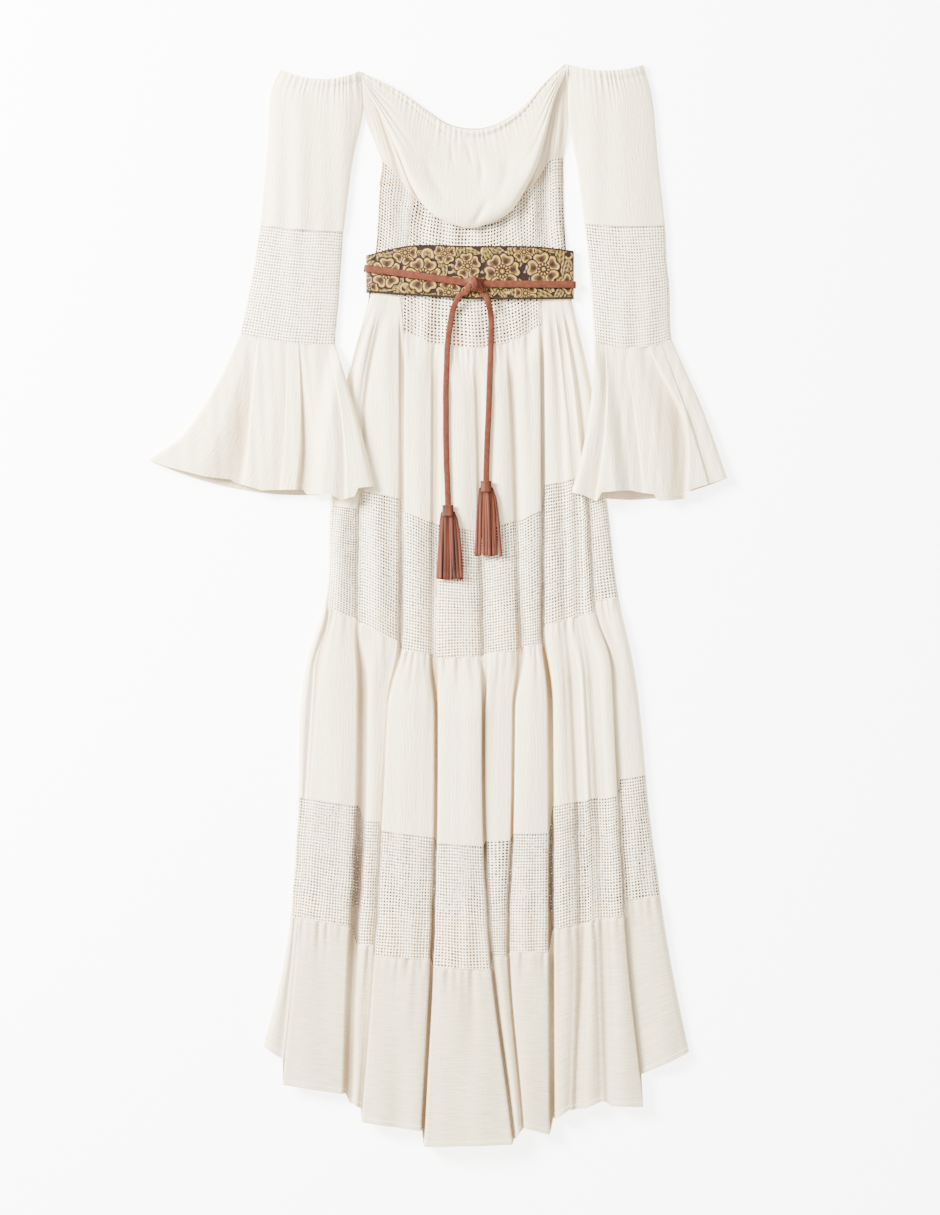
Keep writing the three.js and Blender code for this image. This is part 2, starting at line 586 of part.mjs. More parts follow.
// A sleeve's piece is a flattened tube: its upper layer left to right, then its lower one back
function sleevePiece(side, part, cloth) {
  const { a, b, sag, lower_sag: lowerSag } = SLEEVES[side][part];
  const [left, right] = [spline(a), spline(b)];
  const count = SLEEVE_COLUMNS[part];
  const shares = [0, 0.012];
  for (let c = 1; c < count; c += 1) shares.push(c / count);
  shares.push(0.988, 1);
  const folds = FLOUNCE_FOLDS[side];
  const grid = SLEEVE_ROWS[part].map((v) => {
    const start = left.getPointAt(v);
    const end = right.getPointAt(v);
    const place = (u, hang) => {
      const point = start.clone().lerp(end, u);
      point.y -= lerp(...hang, v) * 4 * u * (1 - u) + (v === 0 ? SEAM : 0);
      return point;
    };
    const ringRow = shares.map((u, i) => {
      const point = place(u, sag);
      const wave = part === "flounce" ? flounceWave(folds, u) * ramp(v * 1.3) : 0;
      const trough = part === "flounce" ? (wave - 0.5) * FLOUNCE_SCALLOP * v : 0;
      const gathered = part === "upper" && i % 2 && i > 1 && i < shares.length - 2;
      const gather = gathered ? SLEEVE_GATHER * (1 - ramp(v / 0.5)) : 0;
      const atEdge = u === 0 || u === 1;
      const crown = SLEEVE_CROWN[part] * (4 * u * (1 - u)) ** 0.6;
      point.y -= atEdge ? 0 : trough;
      point.z = overSkirt(point.x, point.y);
      point.z += atEdge ? SLEEVE_EDGE / 2 : SLEEVE_EDGE + crown + wave * FLOUNCE_WAVE + gather;
      return point;
    });
    for (const u of shares.slice(1, -1).reverse().filter((_, i) => i % 2 === 0)) {
      const point = place(u, lowerSag);
      point.z = overSkirt(point.x, point.y);
      ringRow.push(point);
    }
    return ringRow;
  });
  add(`sleeve_${side}_${part}`, cloth, wall(grid, { ring: true }));
}

// Belt: its outside rises a little to the middle and turns down round the waist at both ends
function beltHeight(x) {
  return BELT_REST + BELT_CROWN * (1 - (x / BELT_HALF) ** 2);
}

function beltSection() {
  const left = BELT_TURN.map(({ x, z }) => ({ x: -BELT_HALF + x, z }));
  const flat = [];
  for (let i = 1; i < BELT_STEPS; i += 1) {
    const x = lerp(-BELT_HALF + 3, BELT_HALF - 3, i / BELT_STEPS);
    flat.push({ x, z: beltHeight(x) });
  }
  const right = BELT_TURN.map(({ x, z }) => ({ x: BELT_HALF - x, z })).reverse();
  return [...left, ...flat, ...right];
}

function asTable(points) {
  return points.map(([x, y]) => ({ x, y }));
}

function belt() {
  const [top, foot] = [asTable(BELT_TOP), asTable(BELT_FOOT)];
  const front = [0, 0.5, 1].map((v) => beltSection().map(({ x, z }) => (
    new THREE.Vector3(x, lerp(heightAlong(top, x), heightAlong(foot, x), v), z)
  )));
  add("belt_front", "belt", wall(front, { thick: BELT_WALL }));
  const back = [0, 1].map((v) => {
    const row = [];
    for (let i = 0; i <= 6; i += 1) {
      const x = lerp(-BELT_HALF, BELT_HALF, i / 6);
      row.push(new THREE.Vector3(x, lerp(heightAlong(top, x), heightAlong(foot, x), v), BELT_THICK));
    }
    return row;
  });
  add("belt_back", "belt", wall(back, { thick: BELT_THICK }));
}

// Lace on the belt, from the knot to one end of the belt and down its side
function tieWrap(name, side, endY) {
  const outside = side * (BELT_HALF + 0.4 + LACE_THICK);
  const knotX = TIE_KNOT.x + side * (TIE_KNOT.half + SEAM);
  const stretch = [{ x: outside, z: 0.1 }, { x: outside, z: 7 }, { x: side * (BELT_HALF - 0.5), z: 12.4 }];
  const steps = 9;
  for (let i = 0; i <= steps; i += 1) {
    const x = lerp(side * (BELT_HALF - 8), knotX, i / steps);
    stretch.push({ x, z: beltHeight(x) + SEAM + 0.3 + LACE_THICK });
  }
  if (side > 0) stretch.reverse();
  const grid = [1, -1].map((edge) => stretch.map(({ x, z }) => {
    const y = lerp(TIE_KNOT.y, endY, Math.min(1, Math.abs(x - knotX) / Math.abs(outside - knotX)));
    return new THREE.Vector3(x, y + (edge * LACE_WIDTH) / 2, z);
  }));
  add(name, "lace", wall(grid, { thick: LACE_THICK }));
}

function toSolid(geometry) {
  const plain = new THREE.BufferGeometry();
  plain.setAttribute("position", geometry.getAttribute("position"));
  if (geometry.index) plain.setIndex(geometry.index);
  const merged = mergeVertices(plain, 1e-4);
  return new wasm.Manifold(new wasm.Mesh({
    numProp: 3,
    vertProperties: new Float32Array(merged.getAttribute("position").array),
    triVerts: new Uint32Array(merged.index.array),
  }));
}

function fromSolid(solid) {
  const mesh = solid.getMesh();
  const geometry = new THREE.BufferGeometry();
  geometry.setAttribute("position", new THREE.BufferAttribute(new Float32Array(mesh.vertProperties), 3));
  geometry.setIndex(new THREE.BufferAttribute(new Uint32Array(mesh.triVerts), 1));
  geometry.computeVertexNormals();
  return geometry;
}

// Knot: a flattened ball of lace with the turn that crosses over it
function tieKnot() {
  const { x, y, half, thick } = TIE_KNOT;
  const middle = beltHeight(x) + SEAM + 0.4 + thick / 2;
  const ball = new THREE.SphereGeometry(1, 14, 8).scale(half - 1, half - 1, thick / 2).translate(x, y, middle);
  const turn = new THREE.TorusGeometry(half - 4, 3, 6, 14).scale(0.7, 1.2, 1.6);
  turn.rotateZ(0.5).translate(x, y, middle + 0.6);
  add("tie_knot", "lace", fromSolid(toSolid(ball).add(toSolid(turn))));
}

// Highest point of the front skirt or net within reach of a place
function frontTop(x, y, reach) {
  const points = COLUMNS.map((column) => {
    const onSkirt = y < seamOf(column, "waist");
    const z = frontHeight(netRise(column), y);
    return onSkirt ? skirtPoint(column, y) : new THREE.Vector3(frontX(column, y), y, z);
  });
  const near = points.filter((point) => Math.abs(point.x - x) < reach);
  return Math.max(...near.map((point) => point.z)) + (y > -160 ? GATHER_HEIGHT : 0);
}

function restHeight(x, y) {
  const beltFoot = heightAlong(asTable(BELT_FOOT), x);
  const onDress = frontTop(x, y, COLUMN_PITCH + TAIL_WIDTH / 2);
  return Math.max(onDress, lerp(onDress, beltHeight(x), ramp((y - beltFoot + 20) / 12)));
}

// A tail of the tie, laid down the front from the knot to its tassel
function tieTail(side) {
  const route = TAILS[side].map(([x, y]) => new THREE.Vector3(x, y, restHeight(x, y) + 0.6 + TAIL_THICK / 2));
  route[0].z = route[1].z;
  const lace = new THREE.Shape();
  const [half, round] = [TAIL_WIDTH / 2, TAIL_THICK / 2];
  const corners = [[round, half - 1], [round, -half + 1], [round * 0.4, -half], [-round * 0.4, -half],
    [-round, -half + 1], [-round, half - 1], [-round * 0.4, half], [round * 0.4, half]];
  corners.forEach(([x, y], i) => (i ? lace.lineTo(x, y) : lace.moveTo(x, y)));
  lace.closePath();
  const path = new THREE.CatmullRomCurve3(route, false, "centripetal");
  const geometry = new THREE.ExtrudeGeometry(lace, { steps: TAIL_STEPS, extrudePath: path });
  add(`tie_tail_${side}`, "lace", geometry);
}

// Tassel: a bound head with two layers of strips fanning from it, lying on the skirt
function tassel(side) {
  const { x, y, foot_x: footX, foot_y: footY } = TASSELS[side];
  const { half, long, thick } = TASSEL_HEAD;
  const levels = [y, (y + footY) / 2, footY];
  const rest = 0.6 + Math.max(...levels.map((level) => frontTop(x, level, TASSEL_SPREAD + COLUMN_PITCH)));
  const head = new THREE.CylinderGeometry(1, 1, long, 12).scale(half, 1, thick / 2);
  head.translate(x, y - long / 2, rest + thick / 2);
  let solid = toSolid(head);
  for (const layer of [-1, 1]) {
    for (let i = 0; i < TASSEL_STRANDS; i += 1) {
      const share = (i - (TASSEL_STRANDS - 1) / 2) / ((TASSEL_STRANDS - 1) / 2);
      const stagger = layer > 0 ? 0 : 0.35;
      const rootX = x + share * (half - 1.6) + stagger * 1.2;
      const tipX = footX + share * (TASSEL_SPREAD - 1.6) + stagger * 3;
      const tipY = footY + 2.5 * Math.abs(Math.sin(2.3 * i + layer));
      const [rootZ, tipZ] = [rest + thick / 2 + layer * 1.4, rest + thick / 2 + layer * 1.9];
      const strand = new THREE.BoxGeometry(1, 1, STRAND.thick);
      const corners = strand.getAttribute("position");
      for (let k = 0; k < corners.count; k += 1) {
        const root = corners.getY(k) > 0;
        const across = corners.getX(k) * (root ? STRAND.root : STRAND.tip);
        corners.setX(k, (root ? rootX : tipX) + across);
        corners.setY(k, root ? y - long + 3 : tipY);
        corners.setZ(k, corners.getZ(k) + (root ? rootZ : tipZ));
      }
      solid = solid.add(toSolid(strand));
    }
  }
  add(`tassel_${side}`, "lace", fromSolid(solid));
}

yokeFront();
yokeSide("yoke_side_left", APEX_LEFT, YOKE_LEFT, SIDE_COVERED.left);
yokeSide("yoke_side_right", APEX_RIGHT, YOKE_RIGHT, SIDE_COVERED.right);
yokeBack();
bodiceNetFront();
bodiceNetBack();
for (const tier of TIERS) {
  skirtFront(tier);
  skirtBack(tier);
}
for (const side of ["left", "right"]) {
  sleevePiece(side, "upper", "gauze");
  sleevePiece(side, "net", "net");
  sleevePiece(side, "flounce", "gauze");
}
belt();
tieWrap("tie_wrap_left", -1, TIE_LEFT_END);
tieWrap("tie_wrap_right", 1, TIE_RIGHT_END);
tieKnot();
tieTail("left");
tieTail("right");
tassel("left");
tassel("right");

export default dress;
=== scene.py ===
"""Looks of an off-shoulder tiered maxi dress with a tooled sash belt, laid flat on its back.

The tables hold millimetres in the frame's own axes: +X to the right of the laid dress, +Y towards
the neckline, +Z up from the surface. Meshes are made in metres.
"""
import json
import logging
import math
from dataclasses import dataclass
from enum import Enum
from typing import Any, NamedTuple, Sequence

import bpy
import numpy as np
from bpy.types import Material, Node, NodeSocket, NodeTree, Object
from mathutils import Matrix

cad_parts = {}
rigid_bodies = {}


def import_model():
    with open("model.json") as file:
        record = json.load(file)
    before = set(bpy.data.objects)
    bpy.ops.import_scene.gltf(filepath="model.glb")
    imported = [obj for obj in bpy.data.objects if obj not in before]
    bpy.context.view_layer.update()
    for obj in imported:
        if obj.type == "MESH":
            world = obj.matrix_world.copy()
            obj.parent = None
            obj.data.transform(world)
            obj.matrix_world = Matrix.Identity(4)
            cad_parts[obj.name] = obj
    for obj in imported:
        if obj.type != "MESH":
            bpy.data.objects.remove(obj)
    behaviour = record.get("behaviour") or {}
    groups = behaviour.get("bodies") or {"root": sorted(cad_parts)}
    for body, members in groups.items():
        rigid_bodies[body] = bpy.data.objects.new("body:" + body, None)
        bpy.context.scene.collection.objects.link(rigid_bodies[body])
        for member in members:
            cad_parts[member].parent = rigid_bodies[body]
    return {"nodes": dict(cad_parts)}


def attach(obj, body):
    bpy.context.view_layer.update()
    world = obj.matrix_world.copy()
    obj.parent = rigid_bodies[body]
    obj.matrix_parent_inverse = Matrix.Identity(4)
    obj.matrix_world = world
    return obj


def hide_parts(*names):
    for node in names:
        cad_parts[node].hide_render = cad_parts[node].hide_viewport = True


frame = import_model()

logging.basicConfig(level=logging.INFO, format="%(message)s")
log = logging.getLogger("dress")
Array = np.ndarray
Numbers = float | Array  # one place or many

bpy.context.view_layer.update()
MM = 0.001
CLOTH_UV = "Cloth"  # map in metres along the cloth, so patterns keep their real size
PAINTED_SHADE = "painted_shade"  # painted shade of a point, from 0 to 1, by how deep it lies in a fold or under other cloth
OPENNESS = "openness"  # how much wider than usual a net's holes are, as a share
UNDER = 0.88  # painted shade from which a net is one that lies under another
UNDER_CLOSED = 0.5  # how much less open it looks there, as its threads lie over each other
PAINT = "paint"  # painted colour of the belt's relief
LEAST_CUT = 0.5  # share of its rectangle that a tapering cut fills at the least

# Cloth as it lies
FRONT_BASE = 2.7  # the front's outside starts this high
EDGE_REST = 0.9  # and comes down to this at the dress's sides
EDGE_ROUND = 7.0
WAIST_LIFT = 2.3
WAIST_FULL = 42.0
WAIST_GONE = 78.0
WAIST_PRESS = 0.8
GATHER_LENGTH = 55.0
PANEL_CROWN = 2.4
HEM_WIDTH = 7.0
HEM_FOLD = 0.7
HEM_ROWS = np.array([8.6, 7.6, 7.0, 6.4, 5.6, 4.0, 2.0, 0.8])  # how far over the foot its rows lie

# Levels down the skirt at which the tables give an x
LEVELS = [-38, -125, -305, -445, -500, -740, -895, -1110]
SIDE_LEFT = [-135.5, -161, -186, -195, -213, -231, -244, -297]
SIDE_RIGHT = [135.5, 157, 183, 201, 214, 242, 264, 308]
UPPER_ROWS = 4  # rows of the tables that belong to the folds above the middle seam
SHIFT_OVER = 80.0  # below that seam the folds move to their lower places over this length
FOLD_STEP = 0.55  # a seam steps from one panel to the next within this share of the fold


class Fold(NamedTuple):
    """A fold of the front skirt: its x at each level, then pairs for above and below the middle seam."""

    x: Sequence[float]
    open: tuple[float, float]
    ease: tuple[float, float]
    floor: tuple[float, float]


class Panel(NamedTuple):
    """A panel between two folds: y at its left and right edge on each seam, and its heights."""

    waist: tuple[float, float]
    band1: tuple[float, float]
    middle: tuple[float, float]
    band2: tuple[float, float]
    flounce: tuple[float, float]
    hem: tuple[float, float]
    high: tuple[float, float]


FOLDS = [
    Fold([-130, -154, -178, -187, -203, -219, -232, -254], (2, 2), (2, 4), (4, 8)),
    Fold([-114, -133, -147, -149, -142, -146, -155, -163], (3, 11), (5, 3), (2.5, 3)),
    Fold([-91, -91, -91, -92, -106, -119, -127, -144], (6, 2), (2, 2), (2, 8.5)),
    Fold([-45, -46, -47, -48, -45, -46, -50, -61], (7.5, 4), (3.5, 2), (5, 4)),
    Fold([5, 10, 15, 18, 18, 19, 27, 53], (7.5, 3), (4.5, 2), (6, 5)),
    Fold([47, 54, 62, 66, 59, 56, 51, 68], (6.5, 3), (3.5, 2), (5, 6)),
    Fold([95, 96, 97, 97, 106, 108, 108, 109], (4, 6), (2, 2.5), (2, 3)),
    Fold([108, 116, 124, 127, 134, 144, 147, 141], (2, 4), (2, 8), (4.8, 10.5)),
    Fold([116, 128, 144, 148, 160, 172, 177, 184], (2, 4), (3, 8), (4.5, 10.5)),
    Fold([124, 140, 158, 166, 188, 200, 209, 232], (2, 2), (2, 2), (2.5, 4.5)),
]
PANELS = [
    Panel((-19, -20), (-309, -310), (-443, -446), (-697, -699), (-855, -857), (-1029, -1043), (4, 5)),
    Panel((-20, -25), (-310, -313), (-446, -458), (-699, -708), (-857, -867), (-1079, -1091), (5, 11)),
    Panel((-26, -31), (-289, -299), (-466, -489), (-728, -729), (-893, -893), (-1105, -1109), (5.5, 9.5)),
    Panel((-76, -93), (-317, -330), (-501, -506), (-741, -749), (-907, -911), (-1128, -1139), (8.5, 15)),
    Panel((-94, -99), (-334, -343), (-512, -509), (-757, -761), (-921, -925), (-1160, -1157), (9.5, 18)),
    Panel((-98, -92), (-341, -330), (-505, -501), (-755, -754), (-908, -907), (-1150, -1140), (9, 12)),
    Panel((-88, -70), (-328, -316), (-496, -493), (-745, -744), (-901, -901), (-1136, -1144), (8.5, 14)),
    Panel((-31, -28), (-281, -278), (-468, -461), (-708, -703), (-871, -865), (-1123, -1112), (5.5, 14)),
    Panel((-27, -24), (-277, -273), (-460, -454), (-702, -698), (-864, -858), (-1110, -1101), (5, 13)),
    Panel((-24, -21), (-272, -266), (-454, -449), (-698, -695), (-857, -853), (-1107, -1108), (5, 12.5)),
    Panel((-21, -19), (-263, -255), (-435, -431), (-673, -667), (-833, -828), (-1065, -1036), (3.5, 6)),
]


class Tier(NamedTuple):
    """A tier of the skirt from its top seam to its foot."""

    name: str
    node: str
    net: bool
    top: str
    foot: str
    gathers: int
    seed: int
    fold_shade: float  # how strongly its folds get painted shade, tinted by the cloth that they shade
    fine: float  # height of its fine upright folds, as a share of its broad ones


TIERS = [
    Tier("tier_1", "skirt_tier_1", False, "waist", "band1", 38, 11, 0.8, 0.3),
    Tier("net_1", "skirt_net_1", True, "band1", "middle", 0, 12, 0.8, 0.25),
    Tier("tier_2", "skirt_tier_2", False, "middle", "band2", 48, 13, 0.8, 0.16),
    Tier("net_2", "skirt_net_2", True, "band2", "flounce", 0, 14, 1.0, 0.25),
    Tier("hem", "hem_tier", False, "flounce", "hem", 46, 15, 0.62, 0.05),
]
# Seams of the back: y at the sides and how far the middle hangs under that
BACK_SEAMS = {
    "neck": (118, 0), "waist": (-84, 0), "band1": (-255, 18), "middle": (-431, 22),
    "band2": (-667, 25), "flounce": (-828, 28), "hem": (-1018, 70),
}

# Bodice
BODICE_LEVELS = [155, 105, 36, -19, -38]
BODICE_LEFT = [-117, -121, -125, -134, -135.5]
BODICE_RIGHT = [124, 125, 128, 134, 135.5]
YOKE_SEAM_X = [-117, -96, -79, -40, 0, 47, 72, 91, 105, 124]
YOKE_SEAM_Y = [150, 130, 106, 88, 83, 92, 108, 127, 150, 155]
NET_FOLDS = 9
NET_FOLD_HEIGHT = 2.8

# Yoke
NECKLINE = [
    (-145, 268), (-95, 243), (-59, 217), (-28, 197), (4, 191), (29, 195), (65, 216), (100, 255), (128, 280),
]
POUCH_EDGE = [
    (-141, 252), (-120, 212), (-96, 160), (-76, 112), (-56, 84), (-40, 72), (-4, 60), (20, 64),
    (52, 80), (72, 108), (88, 140), (100, 180), (113, 232), (126, 264),
]
# Down the yoke: share of the way to the pouch's edge, height at the centre and at the two ends
YOKE_PROFILE = [
    (0, 7.5, 9.2), (0.04, 9, 10.4), (0.09, 7.8, 10.2), (0.35, 12, 10.6), (0.65, 17, 10.8),
    (0.9, 20, 10.6), (1, 13, 8.2), (0.955, 7.6, 6.4), (0.87, 6.9, 6.2),
]
# Creases of the pouch: the line that each follows, its depth and its half width
POUCH_CREASES = [
    ([(22, 92), (14, 78), (6, 66)], 3.4, 4.5), ([(-26, 170), (-24, 158), (-22, 146)], 1.6, 3.5),
    ([(-4, 170), (0, 158), (4, 144)], 1.8, 3.5), ([(12, 156), (16, 138), (14, 118)], 2.2, 4.0),
    ([(-58, 150), (-50, 126), (-34, 102)], 1.8, 6.0), ([(50, 150), (46, 122), (36, 100)], 1.8, 6.0),
]
APEX = {"left": (-143.2, 262), "right": (126.6, 270)}
APEX_BUNDLE = 2.0
SIDE_PLEAT = 1.6
SIDE_COVERED = {"left": -58, "right": 62}
YOKE_LEFT = [(-145, 266), (-142, 218), (-117.5, 152), (-121, 118)]
YOKE_RIGHT = [(128, 278), (131, 204), (125, 154), (125, 118)]


class SleevePart(NamedTuple):
    """A piece of a sleeve: its left and right edge from the top down, and how far its middle sags."""

    left: Sequence[tuple[float, float]]
    right: Sequence[tuple[float, float]]
    sag: tuple[float, float]
    lower_sag: tuple[float, float]


SLEEVES = {
    "left": {
        "upper": SleevePart(
            [(-253, 272), (-265, 245), (-270, 169), (-280, 65)],
            [(-145.9, 270), (-142.4, 218), (-156, 149), (-168, 56)], (14, 3), (11, 3)),
        "net": SleevePart(
            [(-280, 65), (-292, -8), (-307, -81)],
            [(-168, 56), (-173, -20), (-179, -95)], (3, 4), (3, 4)),
        "flounce": SleevePart(
            [(-307, -81), (-325, -122), (-350, -167), (-384, -215), (-429, -248)],
            [(-179, -95), (-164, -143), (-150, -190), (-137, -240), (-127, -284)], (4, 30), (4, 26)),
    },
    "right": {
        "upper": SleevePart(
            [(129.2, 279), (131.8, 204), (143, 141), (152, 67)],
            [(231, 278), (242, 240), (251, 150), (260, 65)], (10, 4), (7, 4)),
        "net": SleevePart(
            [(152, 67), (160, -10), (165, -92)],
            [(260, 65), (265, -10), (269, -88)], (4, 9), (4, 9)),
        "flounce": SleevePart(
            [(165, -92), (163, -142), (158, -190), (148, -243), (135, -292)],
            [(269, -88), (286, -126), (306, -170), (325, -220), (343, -272)], (9, 22), (9, 18)),
    },
}
SLEEVE_EDGE = 4.2
SLEEVE_CROWN = {"upper": 9, "net": 7, "flounce": 6}
FLOUNCE_WAVE = 6.5


class Valley(NamedTuple):
    """A valley between two lines down a flounce, as shares of its width at its top, middle and hem."""

    left: tuple[float, float, float]
    right: tuple[float, float, float]
    deep: float
    sharp: str


FLOUNCE_VALLEYS = {
    "left": [
        Valley((0.10, 0.14, 0.2), (0.19, 0.29, 0.4), 7.5, "right"),
        Valley((0.625, 0.645, 0.67), (0.67, 0.72, 0.78), 6.5, "left"),
        Valley((0.87, 0.84, 0.82), (0.925, 0.9, 0.87), 3.5, "right"),
        Valley((0.42, 0.45, 0.48), (0.5, 0.53, 0.58), 1.6, "right"),
    ],
    "right": [
        Valley((0.03, 0.03, 0.03), (0.14, 0.14, 0.14), 4.0, "right"),
        Valley((0.53, 0.56, 0.595), (0.68, 0.8, 0.72), 7.5, "right"),
        Valley((0.28, 0.3, 0.33), (0.38, 0.41, 0.45), 1.6, "right"),
        Valley((0.86, 0.87, 0.88), (0.93, 0.94, 0.95), 2.4, "left"),
    ],
}
# The upper layer's hem, by x
FLOUNCE_HEMS = {
    "left": [
        (-429, -248), (-403, -257.5), (-353, -270.5), (-318, -274.5), (-314, -278), (-277, -289),
        (-222, -288), (-217, -294.5), (-184, -294.5), (-172, -302.5), (-153, -297.5), (-148, -286),
        (-127, -284),
    ],
    "right": [
        (135, -292), (151, -296), (168, -304), (174, -292), (212, -289), (227, -292), (244, -294.5),
        (250, -303.5), (267, -302.5), (286, -300), (293, -288), (311, -282.5), (343, -272),
    ],
}
OVER_SKIRT = 10.2
CLIMB_FROM = 34.0
CLIMB_TO = 9.0

# Belt and tie
BELT_HALF = 138.7
BELT_TOP = ([-138.7, -89, 4, 99, 138.7], [24, 35.5, 36, 34.7, 30])
BELT_FOOT = ([-138.7, -63, 4, 80, 138.7], [-25.3, -30.7, -34.7, -35, -34])
BELT_REST = 9.4
BELT_CROWN = 3.6
LACE_WIDTH = 9.6
LACE_THICK = 2.4
KNOT_X, KNOT_Y = 5.0, -15.0
KNOT_HALF = 10.0
TIE_ENDS = {"left": 6.5, "right": -15.5}
TAIL_WIDTH = 8.0
TAIL_THICK = 2.6
TAILS = {
    "left": [
        (-4, -25.6), (-12, -29), (-18, -38), (-23, -50), (-27, -72), (-30, -96), (-31, -123),
        (-32, -152), (-32, -182), (-32, -212), (-31.5, -242), (-30.5, -272), (-29.5, -296), (-29.3, -308.6),
    ],
    "right": [
        (13, -25.6), (20, -30), (25, -42), (27.5, -58), (28, -78), (27.5, -100), (26.5, -128),
        (25.5, -158), (24.5, -188), (23, -218), (22, -248), (21.5, -266), (21.3, -276.6),
    ],
}


class TasselPlace(NamedTuple):
    """Where a tassel's head starts and where its strips end."""

    x: float
    y: float
    foot_x: float
    foot_y: float


TASSELS = {
    "left": TasselPlace(-29.3, -309, -26.7, -408),
    "right": TasselPlace(21.3, -277, 24.2, -377),
}
HEAD_HALF = 9.2
HEAD_LONG = 11.0
HEAD_THICK = 9.0
TASSEL_SPREAD = 18.5


# Numbers along tables and curves


def lerp(start: Numbers, end: Numbers, share: Numbers) -> Numbers:
    """Value that lies share of the way from start to end."""
    return start + (end - start) * share


def ramp(share: Numbers) -> Numbers:
    """Smooth step from 0 to 1 as share goes from 0 to 1."""
    t = np.clip(share, 0, 1)
    return t * t * (3 - 2 * t)


def bell(off: Array, wide: float) -> Array:
    """Bell curve that is 1 where off is 0 and has died away at twice wide."""
    return np.exp(-((off / wide) ** 2))


def smooth_table(xs: Sequence[float], ys: Sequence[float], x: Numbers) -> Array:
    """Reads a table with a smooth curve through its rows, going straight on past its ends.

    Args:
        xs: the places of the rows, rising or falling.
        ys: the values there.
        x: the places to read.

    Returns:
        The values at x.
    """
    xs, ys = np.asarray(xs, float), np.asarray(ys, float)
    if xs[0] > xs[-1]:
        xs, ys = xs[::-1], ys[::-1]
    x = np.asarray(x, float)
    slope = np.gradient(ys, xs)
    i = np.clip(np.searchsorted(xs, x) - 1, 0, len(xs) - 2)
    step = xs[i + 1] - xs[i]
    t = (x - xs[i]) / step
    c = np.clip(t, 0, 1)
    curve = (
        (2 * c**3 - 3 * c**2 + 1) * ys[i]
        + (c**3 - 2 * c**2 + c) * step * slope[i]
        + (3 * c**2 - 2 * c**3) * ys[i + 1]
        + (c**3 - c**2) * step * slope[i + 1]
    )
    return curve + (t - c) * step * np.where(t < 0, slope[i], slope[i + 1])


def spline(points: Sequence[Sequence[float]], steps: int = 40) -> Array:
    """Points close together on a centripetal Catmull-Rom curve through the given ones.

    Args:
        points: the given ones, in order.
        steps: how many points go between two of them.

    Returns:
        The close points.
    """
    knots = np.asarray(points, float)
    knots = np.vstack([2 * knots[0] - knots[1], knots, 2 * knots[-1] - knots[-2]])
    t = np.linspace(0, 1, steps, endpoint=False)[:, None]
    out = []
    for p0, p1, p2, p3 in zip(knots, knots[1:], knots[2:], knots[3:]):
        d0, d1, d2 = (max(1e-6, np.linalg.norm(b - a) ** 0.5) for a, b in ((p0, p1), (p1, p2), (p2, p3)))
        m1 = ((p1 - p0) / d0 - (p2 - p0) / (d0 + d1) + (p2 - p1) / d1) * d1
        m2 = ((p2 - p1) / d1 - (p3 - p1) / (d1 + d2) + (p3 - p2) / d2) * d1
        out.append(
            (2 * t**3 - 3 * t**2 + 1) * p1 + (t**3 - 2 * t**2 + t) * m1
            + (3 * t**2 - 2 * t**3) * p2 + (t**3 - t**2) * m2
        )
    return np.vstack([*out, knots[-2]])


def run_of(path: Array) -> Array:
    """Distance run along a polyline at each of its points."""
    steps = np.linalg.norm(np.diff(path, axis=0), axis=1)
    return np.concatenate([[0], np.cumsum(steps)])


def along(curve: Array, shares: Numbers) -> Array:
    """Points of a close polyline at shares of its length."""
    run = run_of(curve)
    at = np.asarray(shares, float) * run[-1]
    return np.stack([np.interp(at, run, curve[:, k]) for k in range(curve.shape[1])], axis=-1)


def ripple(x: Array, y: Array, seed: int, wide: float, tall: float) -> Array:
    """Soft uneven waves from -1 to 1, a handful of seeded sines crossing at slight angles.

    Args:
        x: places across the cloth.
        y: places down it.
        seed: picks the waves.
        wide: about the distance from wave to wave across, in mm.
        tall: about the distance over which a wave changes going down, in mm.

    Returns:
        Heights at the places.
    """
    rng = np.random.default_rng(seed)
    total = np.zeros(np.broadcast(x, y).shape)
    count = 7
    for _ in range(count):
        across = 2 * math.pi / (wide * rng.uniform(0.7, 1.6))
        down = 2 * math.pi / tall * rng.uniform(-1, 1)
        total += np.sin(across * x + down * y + rng.uniform(0, 2 * math.pi))
    return total / count * 1.6


def crease(x: Array, y: Array, line: Sequence[Sequence[float]], wide: float) -> Array:
    """Depth, from 0 to 1, of a soft crease that follows a line and dies away at its ends.

    Args:
        x: places across, in mm.
        y: places down, in mm.
        line: points that the crease follows.
        wide: its half width in mm.

    Returns:
        The depth at the places.
    """
    path = along(spline(line, 8), np.linspace(0, 1, 24))
    depth = np.zeros(x.shape)
    fade = np.sin(math.pi * np.linspace(0.06, 0.94, len(path))) ** 0.6
    for k in range(len(path) - 1):
        (ax, ay), (bx, by) = path[k], path[k + 1]
        run = np.clip(((x - ax) * (bx - ax) + (y - ay) * (by - ay)) / ((bx - ax) ** 2 + (by - ay) ** 2), 0, 1)
        off = np.hypot(x - ax - run * (bx - ax), y - ay - run * (by - ay))
        depth = np.maximum(depth, lerp(fade[k], fade[k + 1], run) * bell(off, wide))
    return depth


def uneven_waves(u: Array, count: int, seed: int) -> Array:
    """Waves from -1 to 1 over u from 0 to 1, each of its own length and strength.

    Args:
        u: shares of the way along.
        count: how many waves there are.
        seed: picks their lengths.

    Returns:
        Heights at u.
    """
    rng = np.random.default_rng(seed)
    lengths = rng.uniform(0.55, 1.6, count)
    ends = np.concatenate([[0], np.cumsum(lengths)]) / lengths.sum()
    phase = np.interp(u, ends, np.arange(count + 1))
    strength = np.interp(u, ends, rng.uniform(0.15, 1.0, count + 1))
    return np.cos(2 * math.pi * phase) * strength


# Meshes


